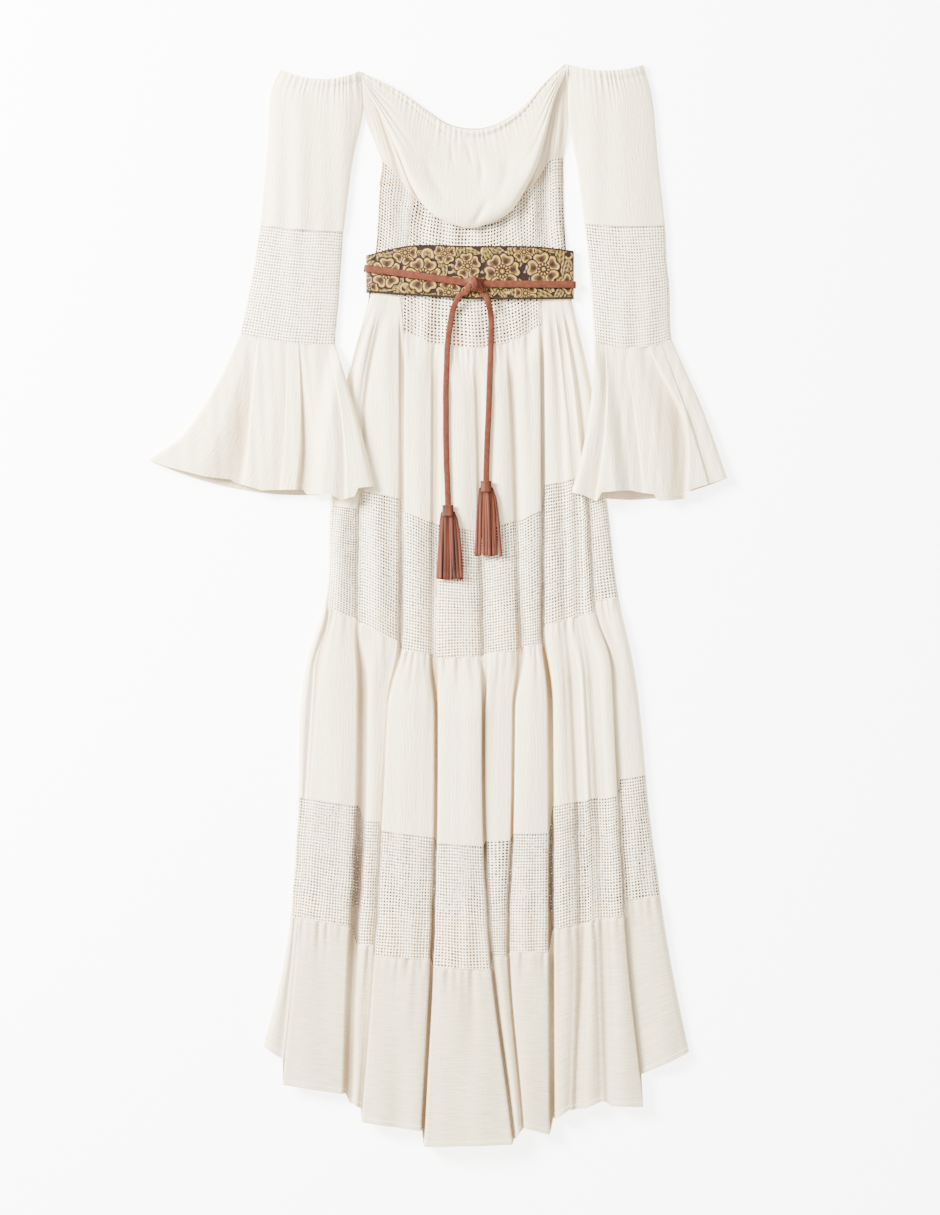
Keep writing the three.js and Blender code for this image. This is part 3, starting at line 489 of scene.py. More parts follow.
@dataclass
class Patch:
    """A grid of cloth: rows from its top to its foot, columns from its left to its right."""

    points: Array
    # painted shade of each point, by how deep it lies in a fold or under other cloth
    painted_shade: Array
    ring: bool = False

    def spans(self) -> tuple[Array, Array]:
        """Distance run along the cloth, in mm, at each column and at each row."""
        rows, columns = self.points.shape[:2]
        return run_of(self.points[rows // 2]), run_of(self.points[:, columns // 3])

    def places(self) -> Array:
        """Where each point is along the cloth, in mm."""
        u, v = np.meshgrid(*self.spans())
        return np.stack([u.ravel(), v.ravel()], axis=1)

    def closed(self) -> "Patch":
        """The same cloth as a plain patch, with a ring's first column again at its end."""
        if not self.ring:
            return self
        points, painted_shade = (np.concatenate([grid, grid[:, :1]], axis=1) for grid in (self.points, self.painted_shade))
        return Patch(points, painted_shade)

    def flat_size(self) -> tuple[float, float]:
        """Width and length in metres, to the nearest 5 mm, of the cut that the cloth laid out needs."""
        widths = np.linalg.norm(np.diff(self.closed().points, axis=1), axis=2).sum(axis=1)
        lengths = np.linalg.norm(np.diff(self.points, axis=0), axis=2).sum(axis=0)
        return tuple(math.ceil(float(size) / 5) * 5 * MM for size in (widths.max(), lengths.max()))

    def area(self) -> float:
        """Area of the cloth laid out, in square metres."""
        grid = self.closed().points
        across, down = grid[:-1, 1:] - grid[1:, :-1], grid[:-1, :-1] - grid[1:, 1:]
        return float(np.linalg.norm(np.cross(across, down), axis=2).sum()) / 2 * MM * MM

    def line(self, inset: float, at_foot: bool = True, columns: int = 0, lift: float = 0.25) -> Array:
        """Points just over the cloth that run along its foot or its top.

        Args:
            inset: how far from that edge they run, in mm.
            at_foot: whether they follow the foot.
            columns: how many columns to follow, or 0 for all.
            lift: how far over the cloth they lie, in mm.

        Returns:
            The points.
        """
        found = []
        for c in range(columns or self.points.shape[1]):
            column = self.points[::-1, c] if at_foot else self.points[:, c]
            run = run_of(column)
            found.append([np.interp(inset, run, column[:, k]) for k in range(3)])
        return np.array(found) + np.array([0, 0, lift])

    def resampled(self, across: float, down: float) -> "Patch":
        """The same cloth as a grid of cells of one size, such as the cells of a net.

        Args:
            across: width of a cell along the cloth, in mm.
            down: height of a cell, in mm.

        Returns:
            The new patch.
        """
        run, fall = self.spans()
        columns = np.linspace(0, run[-1], max(3, round(run[-1] / across)) + 1)
        rows = np.linspace(0, fall[-1], max(3, round(fall[-1] / down)) + 1)
        at_column = np.interp(columns, run, np.arange(len(run)))
        at_row = np.interp(rows, fall, np.arange(len(fall)))
        return Patch(_between(self.points, at_row, at_column), _between(self.painted_shade, at_row, at_column))


def _between(grid: Array, rows: Array, columns: Array) -> Array:
    """Values of a grid at fractional rows and columns."""
    i = np.clip(rows.astype(int), 0, grid.shape[0] - 2)
    j = np.clip(columns.astype(int), 0, grid.shape[1] - 2)
    extra = (1,) * (grid.ndim - 2)
    s = (rows - i).reshape(-1, 1, *extra)
    t = (columns - j).reshape(1, -1, *extra)
    top = lerp(grid[i][:, j], grid[i][:, j + 1], t)
    foot = lerp(grid[i + 1][:, j], grid[i + 1][:, j + 1], t)
    return lerp(top, foot, s)


def new_object(name: str, data: Any) -> Object:
    """An object that holds a mesh, camera or lamp, linked to the scene."""
    obj = bpy.data.objects.new(name, data)
    bpy.context.scene.collection.objects.link(obj)
    return obj


def make_object(
    name: str, points: Array, faces: Sequence[Sequence[int]], uv: Array | None = None,
    painted_shade: Array | None = None,
) -> Object:
    """Makes a mesh object, smoothly shaded, with its place in its vertices.

    Args:
        name: the piece's name.
        points: vertices in mm.
        faces: lists of vertex numbers, turning so that they face outwards.
        uv: place along the cloth in mm, for each vertex.
        painted_shade: painted shade for each vertex, by its depth in a fold.

    Returns:
        The new object, linked to the scene.
    """
    mesh = bpy.data.meshes.new(name)
    mesh.from_pydata((np.asarray(points, float) * MM).tolist(), [], [list(face) for face in faces])
    if uv is not None:
        corners = np.empty(len(mesh.loops), int)
        mesh.loops.foreach_get("vertex_index", corners)
        layer = mesh.uv_layers.new(name=CLOTH_UV)
        layer.data.foreach_set("uv", (np.asarray(uv, float) * MM)[corners].ravel())
    if painted_shade is not None:
        attribute = mesh.attributes.new(PAINTED_SHADE, "FLOAT", "POINT")
        attribute.data.foreach_set("value", np.asarray(painted_shade, float).ravel())
    mesh.polygons.foreach_set("use_smooth", [True] * len(mesh.polygons))
    mesh.update()
    return new_object(name, mesh)


class MeshData(NamedTuple):
    """A mesh before it is an object: vertices in mm, faces, and places along the piece."""

    points: Array
    faces: list[list[int]]
    uv: Array


def grid_faces(rows: int, columns: int, ring: bool = False) -> Array:
    """Quads of a grid, facing up where rows run down the picture and columns to the right.

    Args:
        rows: rows of points.
        columns: points in a row.
        ring: whether each row closes on itself.

    Returns:
        Four vertex numbers for each quad.
    """
    spans = columns if ring else columns - 1
    r, c = np.meshgrid(np.arange(rows - 1), np.arange(spans), indexing="ij")
    a = (r * columns + c).ravel()
    b = (r * columns + (c + 1) % columns).ravel()
    return np.stack([a, a + columns, b + columns, b], axis=1)


def grid_rim(rows: int, columns: int) -> list[int]:
    """Numbers of a grid's outer points, once round it."""
    rim = list(range(columns))
    rim += [r * columns + columns - 1 for r in range(1, rows)]
    rim += [(rows - 1) * columns + c for c in range(columns - 2, -1, -1)]
    return rim + [r * columns for r in range(rows - 2, 0, -1)]


def patch_object(name: str, patch: Patch) -> Object:
    """A patch as one layer of cloth."""
    faces = grid_faces(*patch.points.shape[:2], patch.ring).tolist()
    return make_object(name, patch.points.reshape(-1, 3), faces, patch.places(), patch.painted_shade)


def slab_object(name: str, patch: Patch, thick: float, inside: Numbers) -> Object:
    """A patch as a closed slab whose upper face is the patch and whose underside lies thick below.

    Args:
        name: the piece's name.
        patch: the upper face.
        thick: how far under it the underside is, in mm.
        inside: painted shade of the upper face, which is the garment's inside.

    Returns:
        The slab.
    """
    rows, columns = patch.points.shape[:2]
    count = rows * columns
    top = patch.points.reshape(-1, 3)
    low = top - np.array([0, 0, thick])
    faces = grid_faces(rows, columns)
    rim = grid_rim(rows, columns)
    sides = [[a, b, b + count, a + count] for a, b in zip(rim, rim[1:] + rim[:1])]
    quads = faces.tolist() + (faces[:, ::-1] + count).tolist() + sides
    painted_shade = np.concatenate([np.broadcast_to(inside, (rows, columns)).ravel(), np.zeros(count)])
    return make_object(name, np.vstack([top, low]), quads, np.tile(patch.places(), (2, 1)), painted_shade)


def sweep(path: Array, width: float, thick: float, around: int = 12, square: float = 0.45) -> MeshData:
    """A lace with rounded edges laid along a path.

    Args:
        path: points of its centreline in mm.
        width: its width in mm.
        thick: its thickness in mm.
        around: points round its section.
        square: how square the section is, from 0, square, to 1, an ellipse.

    Returns:
        The lace.
    """
    tangent = np.gradient(path, axis=0)
    tangent /= np.linalg.norm(tangent, axis=1)[:, None]
    side = np.cross(tangent, [0, 0, 1])
    side /= np.linalg.norm(side, axis=1)[:, None]
    up = np.cross(side, tangent)
    angle = np.linspace(0, 2 * math.pi, around, endpoint=False)
    across = np.sign(np.cos(angle)) * np.abs(np.cos(angle)) ** square * width / 2
    over = np.sign(np.sin(angle)) * np.abs(np.sin(angle)) ** square * thick / 2
    points = path[:, None] + side[:, None] * across[None, :, None] + up[:, None] * over[None, :, None]
    faces = grid_faces(len(path), around, ring=True)[:, ::-1].tolist()
    faces.append(list(range(around)))
    faces.append([len(path) * around - 1 - k for k in range(around)])
    u, v = np.meshgrid(across + width, run_of(path))
    return MeshData(points.reshape(-1, 3), faces, np.stack([u.ravel(), v.ravel()], axis=1))


def joined(parts: Sequence[MeshData]) -> MeshData:
    """Several meshes as one."""
    faces: list[list[int]] = []
    shift = 0
    for part in parts:
        faces += [[shift + k for k in face] for face in part.faces]
        shift += len(part.points)
    return MeshData(np.vstack([part.points for part in parts]), faces, np.vstack([part.uv for part in parts]))


# Node trees


def add_node(
    tree: NodeTree, kind: str, inputs: dict[str | int, Any] | None = None, **settings: Any,
) -> Node:
    """Adds a node with its settings, values and links.

    Args:
        tree: the tree that it goes in.
        kind: the node's type name.
        inputs: a value or a socket for each input, by name or number.
        settings: the node's own properties.

    Returns:
        The node.
    """
    node = tree.nodes.new(kind)
    for key, value in settings.items():
        setattr(node, key, value)
    for key, value in (inputs or {}).items():
        if isinstance(value, NodeSocket):
            tree.links.new(value, node.inputs[key])
        else:
            node.inputs[key].default_value = value
    return node


def linear(colour: str) -> tuple[float, float, float, float]:
    """Linear colour of an sRGB hex such as #f1ece3."""
    channels = [int(colour[k : k + 2], 16) / 255 for k in (1, 3, 5)]
    return (*[c / 12.92 if c <= 0.04045 else ((c + 0.055) / 1.055) ** 2.4 for c in channels], 1.0)


def maths(tree: NodeTree, operation: str, first: Any, second: Any) -> NodeSocket:
    """One sum of two values, each a number or a socket."""
    return add_node(tree, "ShaderNodeMath", {0: first, 1: second}, operation=operation).outputs[0]


def geometry_tree(
    name: str, inputs: dict[str, tuple[str, Any]],
) -> tuple[NodeTree, Any, dict[str, str]]:
    """A Geometry Nodes tree with a geometry input and output and named values.

    Args:
        name: the tree's name.
        inputs: socket type and default for each named value.

    Returns:
        The tree, its inputs' sockets and the identifier of each named value.
    """
    tree = bpy.data.node_groups.new(name, "GeometryNodeTree")
    tree.interface.new_socket("Geometry", in_out="INPUT", socket_type="NodeSocketGeometry")
    tree.interface.new_socket("Geometry", in_out="OUTPUT", socket_type="NodeSocketGeometry")
    identifiers = {}
    for key, (kind, value) in inputs.items():
        socket = tree.interface.new_socket(key, in_out="INPUT", socket_type=kind)
        if value is not None:
            socket.default_value = value
        identifiers[key] = socket.identifier
    return tree, add_node(tree, "NodeGroupInput").outputs, identifiers


def end_tree(tree: NodeTree, geometry: NodeSocket, material: NodeSocket) -> None:
    """Closes a tree: instances realised, smooth shading, and the material set.

    Args:
        tree: the tree.
        geometry: what has been made.
        material: its finish.
    """
    real = add_node(tree, "GeometryNodeRealizeInstances", {"Geometry": geometry})
    smooth = add_node(tree, "GeometryNodeSetShadeSmooth", {"Geometry": real.outputs["Geometry"]})
    dressed = add_node(
        tree, "GeometryNodeSetMaterial", {"Geometry": smooth.outputs["Geometry"], "Material": material})
    add_node(tree, "NodeGroupOutput", {"Geometry": dressed.outputs["Geometry"]})


def bake_nodes(obj: Object, tree: NodeTree, values: dict[str, Any]) -> None:
    """Runs a Geometry Nodes tree on obj once and keeps the result as its plain mesh.

    Args:
        obj: the piece, whose mesh is the tree's input.
        tree: the tree.
        values: the modifier's inputs by socket identifier.
    """
    modifier = obj.modifiers.new(tree.name, "NODES")
    modifier.node_group = tree
    for identifier, value in values.items():
        modifier[identifier] = value
    depsgraph = bpy.context.evaluated_depsgraph_get()
    made = bpy.data.meshes.new_from_object(obj.evaluated_get(depsgraph))
    obj.modifiers.remove(modifier)
    made.name = obj.name
    obj.data = made


class NetCell(NamedTuple):
    """A net's cell along the cloth in mm, and the share of its side that is hole."""

    across: float
    down: float
    opening: float


class Perforation:
    """Opens every face of a cell grid, so that what is left are the threads of a net."""

    def __init__(self) -> None:
        """Builds the tree once for all the nets."""
        self.tree, given, self.ids = geometry_tree("perforate", {
            "Opening": ("NodeSocketFloat", 0.5), "Uneven": ("NodeSocketFloat", 0.07),
            "Thread Depth": ("NodeSocketFloat", 0.0006), "Seed": ("NodeSocketInt", 1),
            "Finish": ("NodeSocketMaterial", None),
        })
        tree = self.tree
        loose = add_node(tree, "GeometryNodeInputNamedAttribute", {"Name": OPENNESS}, data_type="FLOAT")
        typical = maths(tree, "ADD", given["Opening"], loose.outputs["Attribute"])
        size = add_node(tree, "FunctionNodeRandomValue", {
            2: maths(tree, "SUBTRACT", typical, given["Uneven"]),
            3: maths(tree, "ADD", typical, given["Uneven"]), "Seed": given["Seed"]},
            data_type="FLOAT")
        cells = add_node(tree, "GeometryNodeExtrudeMesh", {
            "Mesh": given["Geometry"], "Individual": True,
            "Offset Scale": maths(tree, "MULTIPLY", given["Thread Depth"], -1.0)}, mode="FACES")
        holes = add_node(tree, "GeometryNodeScaleElements", {
            "Geometry": cells.outputs["Mesh"], "Selection": cells.outputs["Top"], "Scale": size.outputs[1]},
            domain="FACE")
        threads = add_node(tree, "GeometryNodeDeleteGeometry", {
            "Geometry": holes.outputs["Geometry"], "Selection": cells.outputs["Top"]}, domain="FACE")
        end_tree(tree, threads.outputs["Geometry"], given["Finish"])

    def make(self, name: str, cells: Patch, finish: Material, opening: float, seed: int) -> Object:
        """Makes a net from a grid of cells, a little pulled out of true as soft cotton is.

        Args:
            name: the piece's name.
            cells: one face for each hole.
            finish: the net's material.
            opening: share of a cell's side that is hole.
            seed: picks the unevenness.

        Returns:
            The piece.
        """
        rng = np.random.default_rng(seed)
        points = cells.points.copy()
        x, y = points[..., 0].copy(), points[..., 1].copy()
        inner = np.zeros(x.shape)
        inner[1:-1, 1:-1] = 1
        points[..., 0] += inner * (0.7 * ripple(x, y, seed + 1, 45, 60) + rng.uniform(-0.3, 0.3, x.shape))
        points[..., 1] += inner * (0.8 * ripple(x, y, seed + 2, 55, 70) + rng.uniform(-0.3, 0.3, x.shape))
        points[..., 2] += inner * rng.uniform(-0.15, 0.15, x.shape)
        obj = patch_object(name, Patch(points, cells.painted_shade))
        loose = 0.1 * ripple(x, y, seed + 3, 34, 320)
        loose = np.where(cells.painted_shade > UNDER, -UNDER_CLOSED, loose)
        attribute = obj.data.attributes.new(OPENNESS, "FLOAT", "POINT")
        attribute.data.foreach_set("value", loose.ravel())
        bake_nodes(obj, self.tree, {
            self.ids["Opening"]: opening, self.ids["Seed"]: seed, self.ids["Finish"]: finish})
        obj.data.attributes.remove(obj.data.attributes[OPENNESS])
        return obj


class Stitching:
    """Rows of short stitches laid along a path."""

    def __init__(self) -> None:
        """Builds the tree once for all the rows."""
        self.tree, given, self.ids = geometry_tree("stitches", {
            "Pitch": ("NodeSocketFloat", 0.0042), "Long": ("NodeSocketFloat", 0.0014),
            "Wide": ("NodeSocketFloat", 0.0004), "Finish": ("NodeSocketMaterial", None),
        })
        tree = self.tree
        curve = add_node(tree, "GeometryNodeMeshToCurve", {"Mesh": given["Geometry"]})
        spots = add_node(tree, "GeometryNodeCurveToPoints", {
            "Curve": curve.outputs["Curve"], "Length": given["Pitch"]}, mode="LENGTH")
        turn = add_node(tree, "FunctionNodeAlignRotationToVector", {
            "Vector": spots.outputs["Tangent"]}, axis="X")
        bead = add_node(tree, "GeometryNodeMeshUVSphere", {"Segments": 6, "Rings": 4, "Radius": 1.0})
        size = add_node(tree, "ShaderNodeCombineXYZ", {
            "X": given["Long"], "Y": given["Wide"], "Z": given["Wide"]})
        row = add_node(tree, "GeometryNodeInstanceOnPoints", {
            "Points": spots.outputs["Points"], "Instance": bead.outputs["Mesh"],
            "Rotation": turn.outputs["Rotation"], "Scale": size.outputs["Vector"]})
        end_tree(tree, row.outputs["Instances"], given["Finish"])

    def sew(self, name: str, paths: Sequence[Array], finish: Material) -> Object:
        """A piece made of rows of stitches.

        Args:
            name: the piece's name.
            paths: the points that each row follows, in mm.
            finish: the thread's material.

        Returns:
            The piece.
        """
        points = np.vstack(paths)
        edges = []
        shift = 0
        for path in paths:
            edges += [(shift + k, shift + k + 1) for k in range(len(path) - 1)]
            shift += len(path)
        mesh = bpy.data.meshes.new(name)
        mesh.from_pydata((points * MM).tolist(), edges, [])
        obj = new_object(name, mesh)
        bake_nodes(obj, self.tree, {self.ids["Finish"]: finish})
        return obj


# Finishes


class ShaderBench:
    """A new material with only a Principled shader, and the nodes that feed it."""

    def __init__(self, name: str, **sockets: Any) -> None:
        """Makes the material and sets the shader's constant sockets by name."""
        self.material = bpy.data.materials.new(name)
        self.material.use_nodes = True
        self.tree = self.material.node_tree
        self.tree.nodes.clear()
        self.shader = add_node(self.tree, "ShaderNodeBsdfPrincipled")
        for key, value in sockets.items():
            self.shader.inputs[key.replace("_", " ")].default_value = value
        add_node(self.tree, "ShaderNodeOutputMaterial", {"Surface": self.shader.outputs["BSDF"]})

    def cloth(self) -> NodeSocket:
        """Place along the cloth."""
        return add_node(self.tree, "ShaderNodeUVMap", uv_map=CLOTH_UV).outputs["UV"]

    def place(self) -> NodeSocket:
        """Place in the object."""
        return add_node(self.tree, "ShaderNodeTexCoord").outputs["Object"]

    def noise(self, place: NodeSocket, scale: float, detail: float) -> NodeSocket:
        """Noise, by its features to a metre."""
        inputs = {"Vector": place, "Scale": scale, "Detail": detail}
        return add_node(self.tree, "ShaderNodeTexNoise", inputs).outputs[0]

    def stretched(self, place: NodeSocket, scale: tuple[float, float, float], detail: float) -> NodeSocket:
        """Noise whose grain is stretched, by its features to a metre along each axis."""
        spread = add_node(self.tree, "ShaderNodeMapping", {"Vector": place, "Scale": scale})
        return self.noise(spread.outputs["Vector"], 1.0, detail)

    def threads(self, place: NodeSocket, axis: str, pitch: float) -> NodeSocket:
        """Even threads across one axis of the cloth, by their pitch in mm."""
        wave_period = math.pi / 10  # of Blender's wave texture at scale 1
        inputs = {"Vector": place, "Scale": wave_period / (pitch * MM), "Distortion": 1.2, "Detail": 1.0}
        return add_node(self.tree, "ShaderNodeTexWave", inputs, bands_direction=axis).outputs[1]

    def mapped(
        self, value: NodeSocket, low: float, high: float, least: float = 0, most: float = 1,
    ) -> NodeSocket:
        """A value from low to high brought to least to most, and held there."""
        inputs = {"Value": value, "From Min": low, "From Max": high, "To Min": least, "To Max": most}
        return add_node(self.tree, "ShaderNodeMapRange", inputs).outputs[0]

    def mixed(self, share: NodeSocket, first: Any, second: Any) -> NodeSocket:
        """A colour between two, by share."""
        inputs = {0: share, 6: first, 7: second}
        return add_node(self.tree, "ShaderNodeMix", inputs, data_type="RGBA").outputs[2]

    def dimmed(self, colour: Any, factor: NodeSocket) -> NodeSocket:
        """A colour times a factor."""
        inputs = {0: colour, "Scale": factor}
        return add_node(self.tree, "ShaderNodeVectorMath", inputs, operation="SCALE").outputs[0]

    def bump(self, height: NodeSocket, strength: float, distance: float, over: Any = None) -> NodeSocket:
        """Normal of a bumped surface, on top of another bump's where one is given.

        Args:
            height: the pattern.
            strength: share of it that is used.
            distance: its depth in metres.
            over: the bump that it lies on.

        Returns:
            The normal.
        """
        inputs = {"Height": height, "Strength": strength, "Distance": distance}
        if over is not None:
            inputs["Normal"] = over
        return add_node(self.tree, "ShaderNodeBump", inputs).outputs["Normal"]

    def with_painted_shade(self, colour: str, shade: str, mottle: NodeSocket, streaks: Any = 1.0) -> NodeSocket:
        """A cloth's colour: a little mottled, with painted shade, warm and dim, where it lies in a fold or
        under other cloth.

        Args:
            colour: the open cloth's hex.
            shade: hex of the painted shade in the deepest fold.
            mottle: slow noise.
            streaks: how bright its threads are.

        Returns:
            The colour.
        """
        # painted shade: the colour goes over to the shade hex by this attribute
        deep = add_node(self.tree, "ShaderNodeAttribute", attribute_name=PAINTED_SHADE)
        uneven = self.mapped(mottle, 0.3, 0.7, 0.965)
        plain = self.dimmed(linear(colour)[:3], maths(self.tree, "MULTIPLY", uneven, streaks))
        return self.mixed(deep.outputs["Fac"], plain, linear(shade))

    def done(self, colour: NodeSocket, normal: NodeSocket) -> Material:
        """Gives the shader its colour and its bumped surface."""
        self.tree.links.new(colour, self.shader.inputs["Base Color"])
        self.tree.links.new(normal, self.shader.inputs["Normal"])
        return self.material


@dataclass(frozen=True)
class GauzeFinish:
    """Crinkled cotton gauze: cream and matt, with fine upright crinkle and a plain weave."""

    name: str
    colour: str = "#f1e1bd"
    shade: str = "#8f6a3c"  # painted shade of the deepest folds: warm and dim, as light that has passed through folds of the cloth is
    crinkle: float = 0.7
    slub: float = 0.25
    streak: float = 0.955  # how dim its dimmest threads are

    def material(self) -> Material:
        """The gauze's material, which reads the cloth's own map and its painted shade."""
        bench = ShaderBench(self.name, Roughness=0.92, Sheen_Weight=0.12, Sheen_Roughness=0.6)
        cloth = bench.cloth()
        crinkle = bench.stretched(cloth, (420, 48, 1), 3.0)
        slub = bench.stretched(cloth, (38, 520, 1), 2.0)
        mottle = bench.stretched(cloth, (22, 12, 1), 2.0)
        weave = maths(bench.tree, "ADD", bench.threads(cloth, "X", 0.9), bench.threads(cloth, "Y", 1.0))
        rough = bench.bump(crinkle, self.crinkle, 0.0015)
        ribbed = bench.bump(slub, self.slub, 0.0007, rough)
        woven = bench.bump(weave, 0.4, 0.00025, ribbed)
        uneven = slub if self.slub > self.crinkle else crinkle
        streaks = bench.mapped(uneven, 0.35, 0.6, self.streak)
        return bench.done(bench.with_painted_shade(self.colour, self.shade, mottle, streaks), woven)


@dataclass(frozen=True)
class NetFinish:
    """Cotton net: soft cream threads, a little warmer than the gauze, with a ply twist."""

    name: str
    colour: str = "#faebcb"
    # painted shade: a net under another takes this dark brown, and folds go towards it
    shade: str = "#50301a"

    def material(self) -> Material:
        """The net's material."""
        bench = ShaderBench(self.name, Roughness=0.9, Sheen_Weight=0.1, Sheen_Roughness=0.6)
        cloth = bench.cloth()
        mottle = bench.stretched(cloth, (30, 16, 1), 2.0)
        twist = bench.stretched(cloth, (1500, 1300, 1), 2.0)
        return bench.done(bench.with_painted_shade(self.colour, self.shade, mottle), bench.bump(twist, 0.4, 0.0003))


@dataclass(frozen=True)
class LaceFinish:
    """Soft reddish brown leather: matt and finely grained, in uneven lighter and darker patches."""

    name: str
    colour: str = "#532717"
    dark: str = "#33170d"
    blotches: tuple[float, float, float] = (180.0, 180.0, 180.0)  # to a metre along X, Y and Z

    def material(self) -> Material:
        """The lace's material."""
        bench = ShaderBench(self.name, Roughness=0.6, Specular_IOR_Level=0.14)
        place = bench.place()
        grain = add_node(bench.tree, "ShaderNodeTexVoronoi", {"Vector": place, "Scale": 1400.0})
        blotch = bench.mapped(bench.stretched(place, self.blotches, 3.0), 0.35, 0.65)
        colour = bench.mixed(blotch, linear(self.dark), linear(self.colour))
        return bench.done(colour, bench.bump(grain.outputs["Distance"], 0.35, 0.0003))


@dataclass(frozen=True)
class ToolingFinish:
    """Tooled and painted belt leather: gilt rims on dark grounds under a low satin sheen, a bit worn."""

    name: str

    def material(self) -> Material:
        """The belt's material, coloured by the relief's own paint."""
        bench = ShaderBench(self.name, Roughness=0.52, Specular_IOR_Level=0.14)
        paint = add_node(bench.tree, "ShaderNodeAttribute", attribute_name=PAINT)
        worn = bench.noise(bench.place(), 420.0, 4.0)
        colour = bench.dimmed(paint.outputs["Color"], bench.mapped(worn, 0.3, 0.7, 0.78, 1.15))
        return bench.done(colour, bench.bump(worn, 0.3, 0.0003))


@dataclass(frozen=True)
class BackingFinish:
    """Suede side of the belt's leather, under the dress: a dull brown nap without any shine."""

    name: str
    dark: str = "#5b4231"
    light: str = "#8a6a4c"

    def material(self) -> Material:
        """The backing's material."""
        bench = ShaderBench(self.name, Roughness=0.85)
        nap = bench.noise(bench.place(), 900.0, 4.0)
        colour = bench.mixed(nap, linear(self.dark), linear(self.light))
        return bench.done(colour, bench.bump(nap, 0.4, 0.0003))


class Slot(Enum):
    """The record's material slots."""

    GAUZE = "gauze"
    NET = "net"
    BELT = "belt"
    LACE = "lace"


@dataclass
class Workshop:
    """What every sub-assembly is dressed with: each finish and each node tree, made once."""

    gauze: Material
    hem_gauze: Material
    net: Material
    thread: Material
    lace: Material
    fringe: Material
    tooling: Material
    backing: Material
    perforation: Perforation
    stitching: Stitching

    def hang_net(
        self, name: str, node: str, patch: Patch, cell: NetCell, seed: int,
    ) -> None:
        """Makes and dresses a net.

        Args:
            name: the piece's name.
            node: the CAD node that it stands for.
            patch: the cloth as it lies.
            cell: the size of its cells and holes.
            seed: picks the unevenness.
        """
        cells = patch.closed().resampled(cell.across, cell.down)
        obj = self.perforation.make(name, cells, self.net, cell.opening, seed)
        settle(obj, [node])
        declare(patch)

    def sew(self, name: str, paths: Sequence[Array]) -> None:
        """Makes and dresses rows of stitches."""
        settle(self.stitching.sew(name, paths, self.thread))


def open_workshop() -> Workshop:
    """Makes each finish and each node tree once."""
    hem_gauze = GauzeFinish("slubbed_gauze", colour="#e2d1ae", crinkle=0.3, slub=1.0, streak=0.84)
    thread = GauzeFinish("sewing_thread", colour="#f5f0e6", crinkle=0.1, slub=0.1)
    fringe = LaceFinish("fringe_leather", "#5b2d1b", "#260f09", (300.0, 6.0, 150.0))
    return Workshop(
        gauze=GauzeFinish("crinkled_gauze").material(),
        hem_gauze=hem_gauze.material(),  # duller, with slubs that show as fine lines across it
        net=NetFinish("cotton_net").material(),
        thread=thread.material(),  # smooth and paler than the cloth, so that its rows show
        lace=LaceFinish("soft_leather", dark="#431f12").material(),
        fringe=fringe.material(),  # light and dark run along the strips and set them apart
        tooling=ToolingFinish("tooled_leather").material(),
        backing=BackingFinish("suede_backing").material(),
        perforation=Perforation(),
        stitching=Stitching(),
    )


def settle(obj: Object, nodes: Sequence[str] = (), finish: Material | None = None) -> None:
    """Puts a finished piece on its body and in its nodes' place, and logs it.

    Args:
        obj: the piece.
        nodes: the CAD nodes that it stands for.
        finish: its material, unless a node tree has set it.
    """
    if finish is not None:
        obj.data.materials.clear()
        obj.data.materials.append(finish)
    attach(obj, "root")
    if nodes:
        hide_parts(*nodes)
    log.info("%s: %d faces", obj.name, len(obj.data.polygons))


def declare(
    patch: Patch,
) -> None:
    """Works out the width and length of the cut that a piece of cloth's patch needs, and keeps neither.

    Args:
        patch: the cloth as it lies.
    """
    width, length = patch.flat_size()
    width = min(width, patch.area() / length / LEAST_CUT)


# Front of the dress


class Column(NamedTuple):
    """A line down the front: share of the way across a panel, or from -1 to 1 across a fold."""

    panel: int
    on_fold: bool
    share: float


